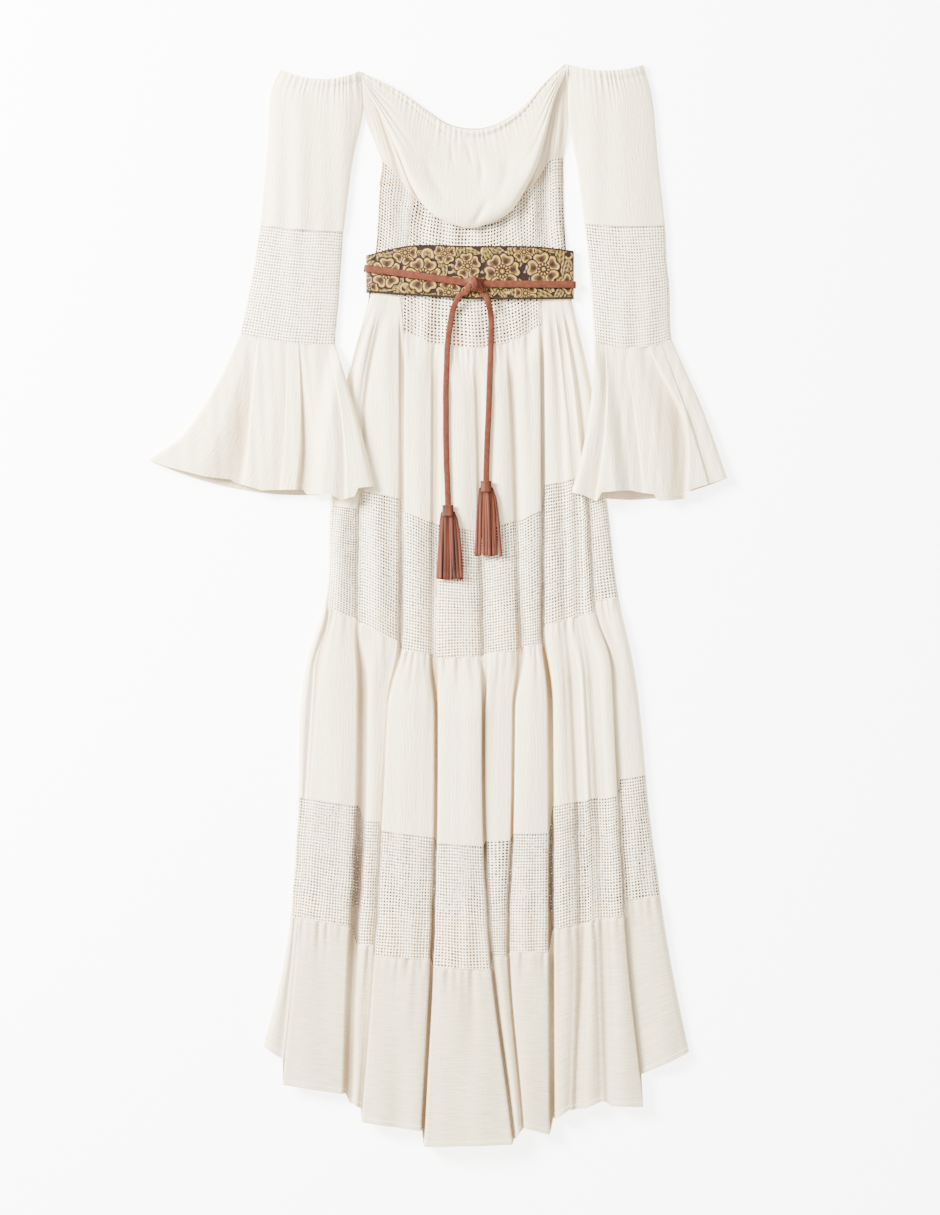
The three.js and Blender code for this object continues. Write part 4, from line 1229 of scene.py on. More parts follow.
@dataclass
class FrontForm:
    """The form that the front of the bodice and skirt shares, from its folds and panels."""

    panel_pitch: float = 1.9
    fold_steps: int = 11

    def __post_init__(self) -> None:
        """Works out the lines once."""
        self.columns = self._columns()

    def _columns(self) -> list[Column]:
        """The lines down the front, left to right."""
        made = []
        for p in range(len(PANELS)):
            start = SIDE_LEFT[5] if p == 0 else FOLDS[p - 1].x[5]
            end = SIDE_RIGHT[5] if p == len(FOLDS) else FOLDS[p].x[5]
            steps = max(5, round((end - start) / self.panel_pitch))
            shares = list(np.linspace(0, 1, steps + 1))
            if p == 0:
                shares = [0, 0.012, 0.03, 0.055] + shares[1:]
            if p == len(FOLDS):
                shares = shares[:-1] + [0.945, 0.97, 0.988, 1]
            made += [Column(p, False, float(share)) for share in sorted(set(shares))]
            if p < len(FOLDS):
                made += [Column(p, True, float(s)) for s in np.linspace(-1, 1, self.fold_steps)[1:-1]]
        return made

    def shift(self, panel: int, y: Array) -> Array:
        """Share of the way from the upper folds to the lower ones, beside a panel at levels y."""
        return ramp((sum(PANELS[panel].middle) / 2 - y) / SHIFT_OVER)

    def fold_at(self, index: int, y: Array) -> tuple[Array, ...]:
        """A fold's x, the width of its floor and of its slopes, and its floor's height, at levels y.

        Args:
            index: the fold's number from the left.
            y: the levels.

        Returns:
            x, floor width, slope width and floor height.
        """
        fold = FOLDS[index]
        low = (self.shift(index, y) + self.shift(index + 1, y)) / 2
        upper = smooth_table(LEVELS[:UPPER_ROWS], fold.x[:UPPER_ROWS], y)
        lower = smooth_table(LEVELS[UPPER_ROWS:], fold.x[UPPER_ROWS:], y)
        return (lerp(upper, lower, low), *(lerp(*pair, low) for pair in fold[1:]))

    def panel_high(self, panel: int, y: Array) -> Array:
        """Height of a panel's edges at levels y."""
        return lerp(*PANELS[panel].high, self.shift(panel, y))

    def section(self, column: Column, y: Array) -> tuple[Array, Array, Array]:
        """Where a column is at levels y.

        Args:
            column: the column.
            y: the levels.

        Returns:
            Its x, how high its folds stand, and its painted shade, by how deep it lies in a fold.
        """
        p = column.panel
        if column.on_fold:
            x, opened, ease, floor = self.fold_at(p, y)
            half = opened / 2 + ease
            up = np.clip((abs(column.share) - opened / 2 / half) / (1 - opened / 2 / half), 0, 1)
            high = self.panel_high(p if column.share < 0 else p + 1, y)
            depth = np.clip((high - floor) / 6.5, 0, 1)
            steep = 3.0 if column.share < 0 else 1.7  # the left panel's edge hangs over the fold
            rise = floor + (high - floor) * (1 - (1 - up) ** steep)
            return x + column.share * half, rise, depth * (1 - up) ** 0.8
        start, end = skirt_sides(y)
        if p > 0:
            x, opened, ease, _ = self.fold_at(p - 1, y)
            start = x + opened / 2 + ease
        if p < len(FOLDS):
            x, opened, ease, _ = self.fold_at(p, y)
            end = x - opened / 2 - ease
        crown = 4 * PANEL_CROWN * column.share * (1 - column.share)
        return lerp(start, end, column.share), self.panel_high(p, y) + crown, np.zeros(np.shape(y))

    def seam(self, column: Column, name: str) -> float:
        """Level at which a column crosses a seam.

        Args:
            column: the column.
            name: the seam's name in Panel.

        Returns:
            Its y there.
        """
        here = getattr(PANELS[column.panel], name)
        if not column.on_fold:
            return lerp(*here, column.share)
        across = ramp((column.share + FOLD_STEP) / (2 * FOLD_STEP))
        return float(lerp(here[1], getattr(PANELS[column.panel + 1], name)[0], across))

    def bodice_share(self, column: Column) -> float:
        """How far across the bodice a column is, from 0 to 1."""
        level = np.array(float(LEVELS[0]))
        x = float(self.section(column, level)[0])
        return (x - SIDE_LEFT[0]) / (SIDE_RIGHT[0] - SIDE_LEFT[0])

    def net_rise(self, column: Column) -> float:
        """How high the bodice net's soft upright folds stand at a column."""
        share = self.bodice_share(column)
        edge = min(1.0, share / 0.03, (1 - share) / 0.03)
        return edge * NET_FOLD_HEIGHT * (1 - math.cos(2 * math.pi * NET_FOLDS * share)) / 2 + edge

    def x_at(self, column: Column, y: Array) -> Array:
        """A column's x at levels y, following the bodice's own edges above the skirt."""
        x = self.section(column, y)[0]
        left, right = bodice_sides(y)
        return lerp(x, lerp(left, right, self.bodice_share(column)), ramp((y - BODICE_LEVELS[-1]) / 40))

    def skirt(self, column: Column, y: Array) -> tuple[Array, Array, Array]:
        """x, height of the cloth's outside and painted shade of a column of the skirt at levels y."""
        _, rise, deep = self.section(column, y)
        below = ramp((self.seam(column, "waist") - y) / GATHER_LENGTH)
        z = front_height(lerp(self.net_rise(column), rise, below), y)
        return self.x_at(column, y), z, deep * below

    def top_near(self, x: float, y: float, reach: float) -> float:
        """Highest point of the front within reach of a place.

        Args:
            x: the place's x.
            y: its y.
            reach: how far aside counts.

        Returns:
            The height in mm.
        """
        level = np.array(float(y))
        best = 0.0
        for column in self.columns:
            if abs(float(self.x_at(column, level)) - x) > reach:
                continue
            on_skirt = y < self.seam(column, "waist")
            z = self.skirt(column, level)[1] if on_skirt else front_height(self.net_rise(column), level)
            best = max(best, float(z))
        return best


def skirt_sides(y: Numbers) -> tuple[Array, Array]:
    """x of the skirt's left and right side at levels y."""
    return smooth_table(LEVELS, SIDE_LEFT, y), smooth_table(LEVELS, SIDE_RIGHT, y)


def bodice_sides(y: Numbers) -> tuple[Array, Array]:
    """x of the bodice's left and right side at levels y."""
    return smooth_table(BODICE_LEVELS, BODICE_LEFT, y), smooth_table(BODICE_LEVELS, BODICE_RIGHT, y)


def waist_bump(y: Numbers) -> Numbers:
    """How much of the belt's lift is under the front at levels y."""
    return 1 - ramp((np.abs(y) - WAIST_FULL) / (WAIST_GONE - WAIST_FULL))


def front_height(rise: Numbers, y: Numbers) -> Numbers:
    """Height of the front's outside, lifted by the belt's back and pressed by its front."""
    bump = waist_bump(y)
    return FRONT_BASE + WAIST_LIFT * bump + rise * (1 - WAIST_PRESS * bump)


def rounded(share: Numbers) -> Numbers:
    """Quarter circle that rises from 0 to 1 as share goes from 0 to 1."""
    return np.sqrt(1 - (1 - np.clip(share, 0, 1)) ** 2)


def round_sides(points: Array) -> None:
    """Brings the front's height down to the back's along both sides of the dress."""
    x = points[..., 0]
    inside = rounded(np.minimum(x - x[:, :1], x[:, -1:] - x) / EDGE_ROUND)
    points[..., 2] = EDGE_REST + (points[..., 2] - EDGE_REST) * inside


@dataclass
class Gathers:
    """Uneven puckers that run down from a gathered seam."""

    count: int
    seed: int
    depth: float = 3.2
    width: tuple[float, float] = (1.6, 3.4)
    short: tuple[float, float] = (12, 42)
    long: tuple[float, float] = (60, 150)
    short_share: float = 0.75
    lean: float = 0.06  # how far they drift aside, as a share of the way down

    def press(self, x: Array, down: Array) -> Array:
        """How deep the puckers are at places across the cloth and down from the seam, in mm.

        Args:
            x: grid of places across.
            down: how far each lies under the seam.

        Returns:
            A grid of depths.
        """
        rng = np.random.default_rng(self.seed)
        low, high = float(x[0].min()), float(x[0].max())
        total = np.zeros(x.shape)
        for k in range(self.count):
            place = lerp(low, high, (k + rng.uniform(0.2, 0.8)) / self.count)
            column = np.abs(x[0] - place).argmin()
            centre = x[:, column][:, None] + rng.uniform(-self.lean, self.lean) * down
            long = rng.uniform(*(self.short if rng.random() < self.short_share else self.long))
            wide = rng.uniform(*self.width) * (1 + down / 60)
            strong = self.depth * rng.uniform(0.2, 1.0) ** 1.3
            across = bell(x - centre, wide)
            total += strong * across * bell(down, long) * ramp(down / 3)
        return np.minimum(total, 1.3 * self.depth)


@dataclass
class Skirt:
    """The five tiers of the skirt, front and back."""

    form: FrontForm
    row_pitch: float = 5.0
    seam_rows: tuple[float, ...] = (0, 0.004, 0.01)  # close rows by the seam, as shares of the way down
    cell: NetCell = NetCell(3.9, 4.1, 0.6)
    back_thick: float = 0.9
    wave_height: float = 1.7
    seam_stitch: float = 4.5  # how far under a seam its stitches run
    hem_stitch: float = HEM_WIDTH - 0.8  # how far over the foot the hem's stitches run

    def front_patch(self, tier: Tier) -> Patch:
        """The front of a tier as a patch of cloth.

        Args:
            tier: the tier.

        Returns:
            Its outside, from seam to seam.
        """
        columns = self.form.columns
        length = abs(self.form.seam(columns[0], tier.foot) - self.form.seam(columns[0], tier.top))
        rows = np.linspace(0.02, 1, round(length / self.row_pitch))
        v = np.unique(np.concatenate([self.seam_rows, rows, 1 - HEM_ROWS / length]))
        points = np.zeros((len(v), len(columns), 3))
        painted_shade = np.zeros(points.shape[:2])
        down = np.zeros(points.shape[:2])
        for c, column in enumerate(columns):
            top, foot = self.form.seam(column, tier.top), self.form.seam(column, tier.foot)
            y = lerp(top, foot, v)
            x, z, deep = self.form.skirt(column, y)
            points[:, c] = np.stack([x, y, z], axis=1)
            painted_shade[:, c] = deep
            down[:, c] = top - y
        x, y = points[..., 0], points[..., 1]
        loose = 1 - WAIST_PRESS * waist_bump(y)
        wave = 0.85 * ripple(x, y, tier.seed, 62, 500) + tier.fine * ripple(x, y, tier.seed + 30, 20, 380)
        points[..., 2] += self.wave_height * wave * ramp(down / 30) * loose
        # painted shade in the folds, uneven along them; the gathers' puckers add a little more
        painted_shade *= tier.fold_shade * (0.75 + 0.4 * ripple(x, y, tier.seed + 60, 150, 160))
        if tier.gathers:
            pucker = Gathers(tier.gathers, tier.seed).press(x, down) * loose
            points[..., 2] += 1.2 * ramp(down / 8) * (1 - ramp(down / 60)) * loose - pucker
            points[..., 2] -= 0.9 * (1 - ramp(down / 3))
            painted_shade = painted_shade + 0.1 * pucker
        painted_shade = np.clip(painted_shade, 0, 0.85)
        if tier.foot == "hem":
            points[..., 2] += 1.6 * ripple(x, y, 77, 46, 900) * ramp((down - 60) / 160)
            points[..., 2] += HEM_FOLD * ramp((HEM_WIDTH - (down[-1:] - down)) / 1.2)
        round_sides(points)
        return Patch(points, painted_shade)

    def back_patch(self, tier: Tier) -> Patch:
        """The back of a tier, whose upper face is the inside of the dress. A net is half as thick.

        Args:
            tier: the tier.

        Returns:
            Its inside, which lies flat.
        """
        columns, rows = 60, 12
        (top_side, top_sag), (foot_side, foot_sag) = BACK_SEAMS[tier.top], BACK_SEAMS[tier.foot]
        points = np.zeros((rows + 1, columns + 1, 3))
        for r in range(rows + 1):
            level = lerp(top_side, foot_side, r / rows)
            left, right = skirt_sides(level)
            x = np.linspace(float(left), float(right), columns + 1)
            half = np.where(x < 0, left, right)
            sag = 1 - (x / half) ** 2
            points[r, :, 0] = x
            points[r, :, 1] = lerp(top_side - top_sag * sag, foot_side - foot_sag * sag, r / rows)
        points[..., 2] = self.back_thick / 2 if tier.net else self.back_thick
        # a back net gets full painted shade, as it lies under the front
        return Patch(points, np.full(points.shape[:2], float(tier.net)))

    def build(self, shop: Workshop) -> None:
        """Makes and dresses all the tiers."""
        for tier in TIERS:
            front, back = self.front_patch(tier), self.back_patch(tier)
            front_name, back_name = f"{tier.name}_front", f"{tier.name}_back"
            front_node, back_node = f"{tier.node}_front", f"{tier.node}_back"
            if tier.net:
                shop.hang_net(front_name, front_node, front, self.cell, tier.seed)
                shop.hang_net(back_name, back_node, back, self.cell, tier.seed + 40)
                continue
            hem = tier.foot == "hem"
            finish = shop.hem_gauze if hem else shop.gauze
            cloth = patch_object(front_name, front)
            settle(cloth, [front_node], finish)
            declare(front)
            # the back's inside face gets full painted shade
            cloth = slab_object(back_name, back, self.back_thick, 1.0)
            settle(cloth, [back_node], finish)
            declare(back)
            paths = [front.line(self.seam_stitch, at_foot=False)]
            shop.sew(f"{tier.name}_stitches", paths + [front.line(self.hem_stitch)] * hem)


@dataclass
class Bodice:
    """The net of the bodice, front and back."""

    form: FrontForm
    cell: NetCell = NetCell(4.6, 4.5, 0.6)

    def front_patch(self) -> Patch:
        """The front net, from the yoke's seam to the waist seam."""
        columns = self.form.columns
        v = np.linspace(0, 1, 60)
        points = np.zeros((len(v), len(columns), 3))
        painted_shade = np.zeros(points.shape[:2])
        for c, column in enumerate(columns):
            share = self.form.bodice_share(column)
            top_x = lerp(YOKE_SEAM_X[0], YOKE_SEAM_X[-1], share)
            top_y = float(smooth_table(YOKE_SEAM_X, YOKE_SEAM_Y, top_x))
            y = lerp(top_y, self.form.seam(column, "waist"), v)
            x = lerp(top_x, self.form.x_at(column, y), ramp((top_y - y) / 40))
            rise = self.form.net_rise(column)
            points[:, c] = np.stack([x, y, front_height(rise, y)], axis=1)
            # painted shade in the troughs of the net's soft folds, a little more near the yoke
            painted_shade[:, c] = np.clip(1 - rise / NET_FOLD_HEIGHT, 0, 1) * 0.5 + 0.08 * ramp((y - 40) / 40)
        round_sides(points)
        return Patch(points, painted_shade)

    def back_patch(self) -> Patch:
        """The back net, lifted over the belt's back."""
        levels = np.linspace(BACK_SEAMS["neck"][0], BACK_SEAMS["waist"][0], 50)
        points = np.zeros((len(levels), 61, 3))
        for r, y in enumerate(levels):
            left, right = bodice_sides(y) if y > LEVELS[0] else skirt_sides(y)
            points[r, :, 0] = np.linspace(float(left), float(right), points.shape[1])
            points[r, :, 1] = y
            points[r, :, 2] = 0.5 + WAIST_LIFT * waist_bump(y)
        # the back net gets full painted shade, as it lies under the front
        return Patch(points, np.ones(points.shape[:2]))

    def build(self, shop: Workshop) -> None:
        """Makes both nets."""
        for seed, side, patch, closed, rests in (
            (21, "front", self.front_patch(), 0.0, ["bodice_back"]),
            (22, "back", self.back_patch(), UNDER_CLOSED, []),
        ):
            shop.hang_net(
                f"bodice_{side}", f"bodice_net_{side}", patch, self.cell, seed)


@dataclass
class Yoke:
    """The gathered yoke: its pouch, the flat stretches beside it, and its back."""

    form: FrontForm
    columns: int = 300
    rows: int = 84
    casing: float = 0.085
    turn_row: float = 6.0  # row of its profile at which the pouch turns under
    stitch: float = 12.5  # how far under the neckline its stitches run

    def front_patch(self) -> Patch:
        """The pouch, from the neckline over its edge and under."""
        neck, edge = spline(NECKLINE), spline(POUCH_EDGE)
        u = np.linspace(0, 1, self.columns + 1)
        stations = np.arange(len(YOKE_PROFILE))
        around_casing = np.linspace(0, 2, 16)[:-1]
        t = np.concatenate([around_casing, np.linspace(2, len(YOKE_PROFILE) - 1, self.rows - 15)])
        share, centre, end = (smooth_table(stations, column, t) for column in zip(*YOKE_PROFILE))
        full = ramp(np.minimum(u, 1 - u) / 0.28)
        plan = lerp(along(neck, u)[None], along(edge, u)[None], share[:, None, None])
        z = lerp(end[:, None], centre[:, None], full[None])
        outer = (t < self.turn_row)[:, None]
        z += self._gathers(u, share) + self._creases(u, share) * outer
        x, y = plan[..., 0], plan[..., 1]
        z += 1.5 * ripple(x + 0.4 * y, y, 5, 52, 150) * ramp((share[:, None] - 0.2) / 0.3) * full * outer
        for line, deep, wide in POUCH_CREASES:
            z -= deep * crease(x, y, line, wide) * outer
        points = np.concatenate([plan, z[..., None]], axis=2)
        # painted shade on the part turned under the pouch's edge, and a little in its creases and gathers
        hidden = np.where(t < self.turn_row + 0.2, 0, 0.7)[:, None] + np.zeros_like(z)
        tucks = np.maximum(0, -self._creases(u, share) - 0.3 * self._gathers(u, share))
        painted_shade = np.clip(hidden + 0.1 * tucks, 0, 1)
        return Patch(points, painted_shade)

    def _gathers(self, u: Array, share: Array) -> Array:
        """Height of the fine gathers in the casing and of the longer ones that leave it."""
        fine = uneven_waves(u, 50, 31)
        long = uneven_waves(u, 23, 32)
        in_casing = bell(share - 0.04, 0.045)[:, None]
        below = (np.exp(-share / 0.13) * (share > self.casing))[:, None]
        seam = -1.5 * bell(share - self.casing, 0.014)[:, None]
        return 1.1 * fine * in_casing + (1.6 * fine + 1.3 * long) * below + seam

    def _creases(self, u: Array, share: Array) -> Array:
        """Height of the long creases that fan from each apex along the pouch's sides."""
        total = np.zeros((len(share), len(u)))
        table = [  # where across the fan, how deep, how wide, how far along, from the left apex or right
            (0.34, 2.2, 0.04, 0.16, False), (0.5, 2.8, 0.035, 0.24, False),
            (0.68, 3.4, 0.035, 0.36, False), (0.84, 3.0, 0.03, 0.32, False),
            (0.45, 2.0, 0.045, 0.22, True), (0.62, 2.8, 0.035, 0.3, True), (0.8, 3.4, 0.035, 0.36, True),
        ]
        for place, deep, wide, reach, from_right in table:
            run = (1 - u) if from_right else u
            drift = place - 0.12 * run / reach
            trough = bell(share[:, None] - drift[None], wide)
            total -= deep * trough * (1 - ramp(run / reach))[None] * ramp(run / 0.05)[None]
        return total

    def side_patch(self, side: str) -> Patch:
        """The stretch that lies flat beside the pouch, with pleats fanning from the apex.

        Args:
            side: left or right.

        Returns:
            Its outside, from the apex to the net.
        """
        apex, covered = APEX[side], SIDE_COVERED[side]
        left_side = side == "left"
        edge = along(spline((YOKE_LEFT if left_side else YOKE_RIGHT)[:3]), np.linspace(0.04, 1, 60))
        feet = []
        for column in self.form.columns:
            x = lerp(YOKE_SEAM_X[0], YOKE_SEAM_X[-1], self.form.bodice_share(column))
            if (x <= covered) if left_side else (x >= covered):
                feet.append((x, float(smooth_table(YOKE_SEAM_X, YOKE_SEAM_Y, x)), self.form.net_rise(column)))
        feet = np.array(feet)
        across = np.linspace(0, 1, 60)
        along_feet = np.linspace(0, 1, len(feet))
        foot = np.stack([np.interp(across, along_feet, feet[:, k]) for k in range(3)], axis=1)
        v = np.linspace(0, 1, 60)[:, None]
        outer = across if left_side else 1 - across
        x = lerp(apex[0] + 9 * (across - (0 if left_side else 1)), foot[:, 0], v)
        y = lerp(apex[1] + 0 * across, foot[:, 1], v)
        pull = np.exp(-outer / 0.12)
        x = lerp(x, edge[:, :1] + (x - x[:, :1] if left_side else x - x[:, -1:]), pull)
        y = lerp(y, edge[:, 1:], pull * ramp((1 - v) * 6))
        pleat = (0.5 - 0.5 * np.cos(2 * math.pi * 4.5 * across)) * ramp(v) * ramp((1 - v) * 4)
        z = FRONT_BASE + lerp(APEX_BUNDLE, foot[:, 2], ramp(v)) + SIDE_PLEAT * pleat
        # painted shade between the pleats
        painted_shade = np.clip(0.35 * (1 - pleat) * ramp(v * 3), 0, 1)
        points = np.stack([x, y, z], axis=2)
        points[..., 2] -= 1.4 * np.exp(-outer / 0.04)
        return Patch(points, painted_shade)

    def back_patch(self) -> Patch:
        """The yoke's back, under everything."""
        neck, left, right = spline(NECKLINE), spline(YOKE_LEFT), spline(YOKE_RIGHT)
        u, v = np.linspace(0, 1, 90), np.linspace(0, 1, 24)[:, None]
        a, b = along(left, v[:, 0])[:, None], along(right, v[:, 0])[:, None]
        between = lerp(a, b, u[None, :, None])
        chord = lerp(left[0], right[0], u[:, None])
        sag = (along(neck, u) - chord)[None] * (1 - v)[..., None]
        sag[..., 1] += 3 * np.sin(math.pi * u) * (1 - v)
        plan = between + sag
        plan[..., 1] += (BACK_SEAMS["neck"][0] - lerp(a[-1, 0, 1], b[-1, 0, 1], u)) * v
        z = np.full(plan.shape[:2], 0.9)
        return Patch(np.concatenate([plan, z[..., None]], axis=2), np.zeros(z.shape))

    def build(self, shop: Workshop) -> None:
        """Makes and dresses the yoke."""
        back, front = self.back_patch(), self.front_patch()
        shaded = ramp((220 - back.points[..., 1]) / 60)  # painted shade on the inside, deeper lower down, where the pouch covers it
        pieces = [(slab_object("yoke_rear", back, 0.9, 0.3 + 0.7 * shaded), "yoke_back", back, "laid", [])]
        for side in ("left", "right"):
            patch = self.side_patch(side)
            pieces.append(
                (patch_object(f"yoke_{side}", patch), f"yoke_side_{side}", patch, "laid", ["yoke_rear"]))
        pieces.append((patch_object("yoke_pouch", front), "yoke_front", front, "gathered",
                       ["yoke_left", "yoke_right", "bodice_front"]))
        for cloth, node, patch, held, rests in pieces:
            settle(cloth, [node], shop.gauze)
            declare(patch)
        shop.sew("yoke_stitches", [front.line(self.stitch, at_foot=False)])


@dataclass
class Sleeve:
    """One sleeve: gathered upper, net and bell flounce, each a flattened tube."""

    side: str
    cell: NetCell = NetCell(3.75, 4.1, 0.53)
    lip: float = 0.16  # a valley's sharp side, as a share of its width
    edge_share: float = 0.03  # how much of its width each side edge is rounded over
    hem_stitch: float = 6.0
    casing_stitch: float = 13.0

    def over_skirt(self, x: Array, y: Array) -> Array:
        """How high the sleeve lies so as to clear the skirt's edge under it.

        Args:
            x: places across.
            y: their levels.

        Returns:
            Heights to add.
        """
        level = np.minimum(LEVELS[0], y)
        left, right = skirt_sides(level)
        outside = np.where(x < 0, left - x, x - right)
        reach = ramp((CLIMB_FROM - outside) / (CLIMB_FROM - CLIMB_TO))
        return OVER_SKIRT * reach * ramp((-60 - y) / 60)

    def valleys(self, u: Array, v: Array) -> Array:
        """Depth in mm of the flounce's valleys, by shares across and down it.

        Args:
            u: shares across.
            v: shares down.

        Returns:
            A grid of depths.
        """
        depth = np.zeros(np.broadcast(u, v).shape)
        for valley in FLOUNCE_VALLEYS[self.side]:
            left = smooth_table([0, 0.5, 1], valley.left, v)
            right = smooth_table([0, 0.5, 1], valley.right, v)
            across = (u - left) / (right - left)
            if valley.sharp == "left":
                across = 1 - across
            slope = ramp(across) ** 0.85 * (1 - ramp((across - 1) / self.lip))
            depth = np.maximum(depth, valley.deep * slope)
        return depth * ramp(0.25 + v * 1.1)

    def patch(self, part: str, columns: int, rows: int) -> Patch:
        """A piece of the sleeve as a ring of cloth: its upper layer left to right, then its lower one.

        Args:
            part: its name in SLEEVES.
            columns: steps across each layer.
            rows: steps down.

        Returns:
            The ring.
        """
        sizes = SLEEVES[self.side][part]
        v = np.linspace(0, 1, rows + 1)[:, None]
        start, end = along(spline(sizes.left), v[:, 0]), along(spline(sizes.right), v[:, 0])
        turn = np.linspace(0, math.pi, columns + 1)
        upper = (1 - np.cos(turn)) / 2 * 0.35 + turn / math.pi * 0.65
        lower = upper[::-1][1:-1]
        flounce = part == "flounce"
        layers = []
        for u, hang, low in ((upper, sizes.sag, False), (lower, sizes.lower_sag, True)):
            x = lerp(start[:, :1], end[:, :1], u)
            bow = 4 * u * (1 - u)
            y = lerp(start[:, 1:], end[:, 1:], u) - lerp(*hang, v) * bow
            depth = self.valleys(u, v) if flounce and not low else 0 * u * v
            if flounce and not low:
                hem_x, hem_y = zip(*FLOUNCE_HEMS[self.side])
                y = y + (np.interp(x[-1], hem_x, hem_y) - y[-1]) * ramp((v - 0.45) / 0.55)
            z = self.over_skirt(x, y)
            painted_shade = np.zeros(z.shape)
            if low:
                # painted shade on the lower layer, the sleeve's inside
                painted_shade += {"upper": 0.5, "net": 0.95, "flounce": 0.35}[part]
            else:
                round_edge = rounded(np.minimum(u, 1 - u) / self.edge_share)
                z = z + lerp(SLEEVE_EDGE / 2, SLEEVE_EDGE, round_edge) + SLEEVE_CROWN[part] * bow**0.6
                z = z + (self._detail(part, u, v, x, y) - depth) * round_edge
                z = z + FLOUNCE_WAVE * v * round_edge if flounce else z
                # painted shade in the flounce's valleys
                painted_shade = np.clip(0.08 * depth, 0, 0.5) * ramp(v * 2)
            layers.append((np.stack([x, y, z], axis=2), painted_shade))
        points = np.concatenate([layers[0][0], layers[1][0]], axis=1)
        return Patch(points, np.concatenate([layers[0][1], layers[1][1]], axis=1), ring=True)

    def _detail(self, part: str, u: Array, v: Array, x: Array, y: Array) -> Array:
        """Gathers, casing and soft folds that stand on a piece's upper layer."""
        seed = 50 if self.side == "left" else 60
        if part == "net":
            return 0.5 * ripple(x, y, seed, 40, 300)
        if part == "flounce":
            return 0.9 * ripple(x, y, seed + 1, 18, 160) * (1 - 0.5 * v)
        fine = uneven_waves(u, 17, seed)
        casing = 1.2 * bell(v - 0.028, 0.022) - 1.3 * bell(v - 0.06, 0.01)
        gather = (1.1 * bell(v - 0.03, 0.04) + 1.9 * np.exp(-v / 0.09) * (v > 0.06)) * fine
        return casing + gather + 1.7 * ripple(x, y, seed + 2, 42, 600) * ramp(v * 4)

    def build(self, shop: Workshop) -> None:
        """Makes and dresses the sleeve's three pieces."""
        for part, columns, rows in (("upper", 190, 70), ("net", 60, 40), ("flounce", 260, 60)):
            patch = self.patch(part, columns, rows)
            node = f"sleeve_{self.side}_{part}"
            if part == "net":
                shop.hang_net(f"{node}_cloth", node, patch, self.cell, 33)
                continue
            cloth = patch_object(f"{node}_cloth", patch)
            settle(cloth, [node], shop.gauze)
            declare(patch)
            hem = part == "flounce"
            path = patch.line(self.hem_stitch if hem else self.casing_stitch, hem, columns + 1)
            shop.sew(f"{node}_stitches", [path])


# Belt and tie


class Motif(Enum):
    """Kinds of ornament on the belt."""

    FLOWER = "flower"
    LEAF = "leaf"
    SCROLL = "scroll"


class Ornament(NamedTuple):
    """One ornament: its kind, place, size in mm, turn in degrees and number of petals."""

    kind: Motif
    x: float
    y: float
    size: float
    turn: float = 0
    petals: int = 0


FLOWERS = [Ornament(Motif.FLOWER, *row) for row in (
    (-138, -20, 18, 10, 5), (-86, 27, 18, 0, 5), (-33, 26, 16, 12, 5), (-28, -26, 18, 40, 5),
    (17, -27, 16, 22, 5), (72, 28, 16, 5, 5), (74, -27, 17, 33, 5), (-111, 0, 22, 15, 5),
    (-62, -3, 26, 0, 6), (-3, 9, 19, 25, 5), (43, 2, 26, 10, 6), (98, 5, 24, 30, 5),
    (138, -14, 18, 5, 5),
)]
GOLD = "#98783f"
OCHRE = "#2a1b0c"
OLIVE = "#24230b"
SAGE = "#1d1f16"
ROSEWOOD = "#27160c"
UMBER = "#0b0603"
MAUVE = "#2a1514"


def filling() -> list[Ornament]:
    """Leaves and scrolls that fill the ground between the flowers."""
    rng = np.random.default_rng(14)
    made = []
    for kind, step, rows, small, large in (
        (Motif.LEAF, 20, (-27, -9, 9, 27), 12, 15), (Motif.SCROLL, 27, (-20, 4, 24), 8, 10),
        (Motif.LEAF, 33, (-24, 2, 25), 15, 18),
    ):
        for x in np.arange(-138, 140, step):
            for y in rows:
                place = (float(x + rng.uniform(-5, 5)), float(y + rng.uniform(-4, 4)))
                made.append(Ornament(kind, *place, rng.uniform(small, large), rng.uniform(0, 360)))
    return made


def rgb(colour: str) -> Array:
    """Linear red, green and blue of an sRGB hex."""
    return np.array(linear(colour)[:3])


